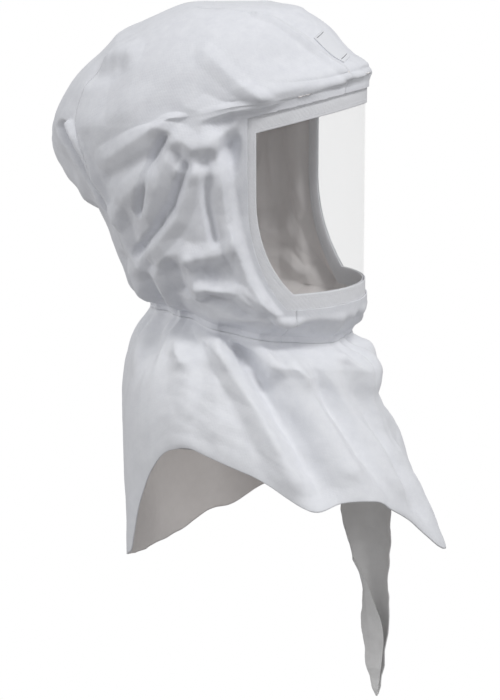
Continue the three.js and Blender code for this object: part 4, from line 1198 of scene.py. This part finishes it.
def tail_section(across, down, half):
    """Along and deep places of the strip: the back layer runs from the left outline to the right
    one in a hollow arc, and the flap, whose share grows from 0, runs from the left outline over it."""
    grown = ease(down, *WRAP_RANGE)
    place = (1 - across) / 2
    flap = WRAP_SHARE * grown
    wrapping = place < flap
    back = np.clip((place - flap) / (1 - flap), 0.0, 1.0)
    front = np.clip((flap - place) / np.maximum(flap, SMALLEST), 0.0, 1.0) * wrapping
    along = half - 2 * half * back - half * front * grown * WRAP_REACH * wrapping
    deep = TAIL_DEPTH * half * np.sin(math.pi * back) ** TAIL_HOLLOW
    lifted = (WRAP_LIFT + WRAP_SWELL * half) * np.minimum(WRAP_GROWTH * grown, 1.0)
    deep -= lifted * np.sin(math.pi / 2 * np.minimum(WRAP_EDGE * front, 1.0)) * wrapping
    return along, deep


def tail_grid(columns, rows):
    """Strip that starts on the inner shroud's surface and blends into its own hanging section."""
    across, down = np.meshgrid(np.linspace(-1.0, 1.0, columns), np.linspace(SEWN_END, TAIL[-1, 0], rows))
    forward, aside, width = (np.interp(down, TAIL[:, 0], TAIL[:, k]) for k in range(1, 4))
    above = 1 - np.clip((down - SEWN_END) / (HELD_END - SEWN_END), 0.0, 1.0)
    held = shroud(mix(TAIL_FROM, TAIL_TO, (across + 1) / 2), 1 - above * SEWN_LAP, **INNER)
    along, deep = tail_section(across, down, width * TAIL_WIDTH / 2)
    x = TAIL_X + aside * TAIL_WIDTH + deep
    y = TAIL_Y - forward * TAIL_WIDTH + along
    z = neck(np.array(0.0), 0.0, 0.0)[2] - down * TAIL_LENGTH
    points = mix(held, np.stack([x, y, z], -1), ease(down, HELD_END, FREE_START)[..., None])
    return points + normals_of(points) * creases(points, TAIL_CREASES)[..., None]


# %% Inner shroud and its tail
INNER_COLUMNS, INNER_ROWS = 260, 70
TAIL_COLUMNS, TAIL_ROWS = 60, 200
inner_points = shroud_grid(INNER_COLUMNS, INNER_ROWS, **INNER)
tail_points = tail_grid(TAIL_COLUMNS, TAIL_ROWS)
inner_faces = grid_faces(INNER_ROWS, INNER_COLUMNS, round_columns=True)
tail_faces = grid_faces(TAIL_ROWS, TAIL_COLUMNS) + INNER_ROWS * INNER_COLUMNS
inner = add_mesh("shroud_cloth_inner", np.vstack([inner_points.reshape(-1, 3), tail_points.reshape(-1, 3)]),
                 np.vstack([inner_faces, tail_faces]), inner_cloth)
add_wall(inner, SHROUD_CLOTH)
finish_piece(inner, "shroud_cloth", "inner_shroud")
inner_area = sheet_area(inner_points) + sheet_area(tail_points, closed=False)
print("inner shroud, square metres:", round(inner_area, 4))

# %% [markdown]
# Both shrouds were flat pieces before they were sewn.

# %% [markdown]
# The brow label is a small sewn patch, bare apart from two thin printed rules at its ends. It
# follows the cloth under it because it is worked out from the same surface, lifted off a little,
# where a flat patch would need to be shrink-wrapped.

# %% Brow label
# bearing and level of the patch's corners
LABEL_CORNERS = np.array([[-17, 3.3], [-6, 3.0], [-1, 4.4], [-12, 4.7]])
LABEL_CELLS = 40
LABEL_LIFT, LABEL_WALL = 1.0, 0.8


def label_grid(lift):
    """Patch of the hood's surface between four corners, lifted off it."""
    u, v = np.meshgrid(np.linspace(0, 1, LABEL_CELLS), np.linspace(0, 1, LABEL_CELLS))
    corner = [LABEL_CORNERS[k][:, None, None] for k in range(4)]
    bearing, level = mix(mix(corner[0], corner[1], u), mix(corner[3], corner[2], u), v)
    points = hood(bearing, level)
    return points + normals_of(points) * lift


def make_label():
    """The lifted patch with its wall downwards."""
    faces = grid_faces(LABEL_CELLS, LABEL_CELLS)
    obj = add_mesh("brow_patch", label_grid(LABEL_LIFT), faces, label_cloth)
    add_wall(obj, LABEL_WALL)
    finish_piece(obj, "label_cloth", "brow_label")
    print("label faces:", len(faces))


make_label()

# %% Rules on the label
# places, half-width and ends as shares of the patch
RULE_PLACES = (0.05, 0.90)
RULE_HALF = 0.008
RULE_ENDS = (0.10, 0.86)
RULE_STOPS = 24
RULE_LIFT = 1.06
RULE_SURFACE = {"Base Color": (0.13, 0.13, 0.14, 1.0), "Roughness": 0.7}


def make_rules():
    """Two strips of the patch between lines of the same share, just above its face."""
    points = label_grid(RULE_LIFT)
    count = LABEL_CELLS - 1
    columns = np.linspace(RULE_ENDS[0] * count, RULE_ENDS[1] * count, RULE_STOPS)
    j = columns.astype(int)
    lines = []
    for middle in RULE_PLACES:
        for row in ((middle - RULE_HALF) * count, (middle + RULE_HALF) * count):
            i = int(row)
            line = mix(points[i], points[i + 1], row - i)
            lines.append(mix(line[j], line[np.minimum(j + 1, count)], (columns - j)[:, None]))
    faces = np.vstack([grid_faces(2, RULE_STOPS) + number * 2 * RULE_STOPS
                       for number in range(len(RULE_PLACES))])
    obj = add_mesh("label_rules", np.stack(lines), faces, new_material("rule_grey", RULE_SURFACE))
    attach(obj, "root")
    print("rules:", len(RULE_PLACES))


make_rules()

# %% [markdown]
# The light is that of a catalogue picture. A bright, even surround does most of the work, as a
# white tent would in a studio. A soft key light from the upper right gives the folds their
# shading, a second from the left opens their shadows, and a weak one in front reaches into the
# window. The floor lies well below the hood, which is held up as a head would hold it.

# %% Floor and surround
FLOOR_Z = -2.5
FLOOR_HALF = 30.0
FLOOR_SURFACE = {"Base Color": (0.45, 0.44, 0.43, 1.0), "Roughness": 0.9}
SURROUND = (0.97, 0.98, 1.0, 1.0)
AMBIENT = 0.50
WHITE = (1.0, 1.0, 1.0, 1.0)


def white_to_camera(tree, shader, output, kind):
    """Shows plain white to the camera and the given shader to all other rays."""
    white = node_of(tree, kind, Color=WHITE, Strength=1.0)
    path = node_of(tree, "ShaderNodeLightPath")
    choose = node_of(tree, "ShaderNodeMixShader")
    tree.links.new(path.outputs["Is Camera Ray"], choose.inputs[0])
    tree.links.new(shader.outputs[0], choose.inputs[1])
    tree.links.new(white.outputs[0], choose.inputs[2])
    tree.links.new(choose.outputs[0], output.inputs["Surface"])


def add_floor():
    """Large sheet below the object that throws back light and looks white."""
    corners = np.array([[-1, -1], [1, -1], [1, 1], [-1, 1]]) * FLOOR_HALF
    corners = np.column_stack([corners, np.full(4, FLOOR_Z)]) / MM
    material = new_material("floor", FLOOR_SURFACE)
    tree = material.node_tree
    white_to_camera(tree, tree.nodes["Principled BSDF"], tree.nodes["Material Output"],
                    "ShaderNodeEmission")
    add_mesh("floor", corners, [[0, 1, 2, 3]], material, smooth=False)


def set_world():
    """White behind the object, with a dim even light on it."""
    world = bpy.data.worlds.new("world")
    world.use_nodes = True
    tree = world.node_tree
    even = tree.nodes["Background"]
    even.inputs["Color"].default_value = SURROUND
    even.inputs["Strength"].default_value = AMBIENT
    white_to_camera(tree, even, tree.nodes["World Output"], "ShaderNodeBackground")
    bpy.context.scene.world = world


add_floor()
set_world()

# %% Lights
PICTURE_RIGHT = Vector((math.cos(CAMERA_AZIMUTH), math.sin(CAMERA_AZIMUTH), 0.0))
PICTURE_NEAR = Vector((math.sin(CAMERA_AZIMUTH), -math.cos(CAMERA_AZIMUTH), 0.0))
HOOD_MIDDLE = Vector((0.0, -0.02, -0.30))


def add_light(name, right, near, up, size, power):
    """Square area light, so far to the picture's right, towards the camera and up, in metres."""
    data = bpy.data.lights.new(name, "AREA")
    data.size = size
    data.energy = power
    light = bpy.data.objects.new(name, data)
    away = PICTURE_RIGHT * right + PICTURE_NEAR * near + Vector((0.0, 0.0, up))
    light.location = HOOD_MIDDLE + away
    light.rotation_euler = away.to_track_quat("Z", "Y").to_euler()
    bpy.context.scene.collection.objects.link(light)


add_light("key", right=0.9, near=1.1, up=2.0, size=0.6, power=22.0)
add_light("left", right=-2.2, near=0.7, up=0.7, size=0.7, power=12.0)
add_light("front", right=1.6, near=1.2, up=0.5, size=0.6, power=4.0)
bpy.context.scene.view_settings.view_transform = "Standard"
print("lights:", len(bpy.data.lights))
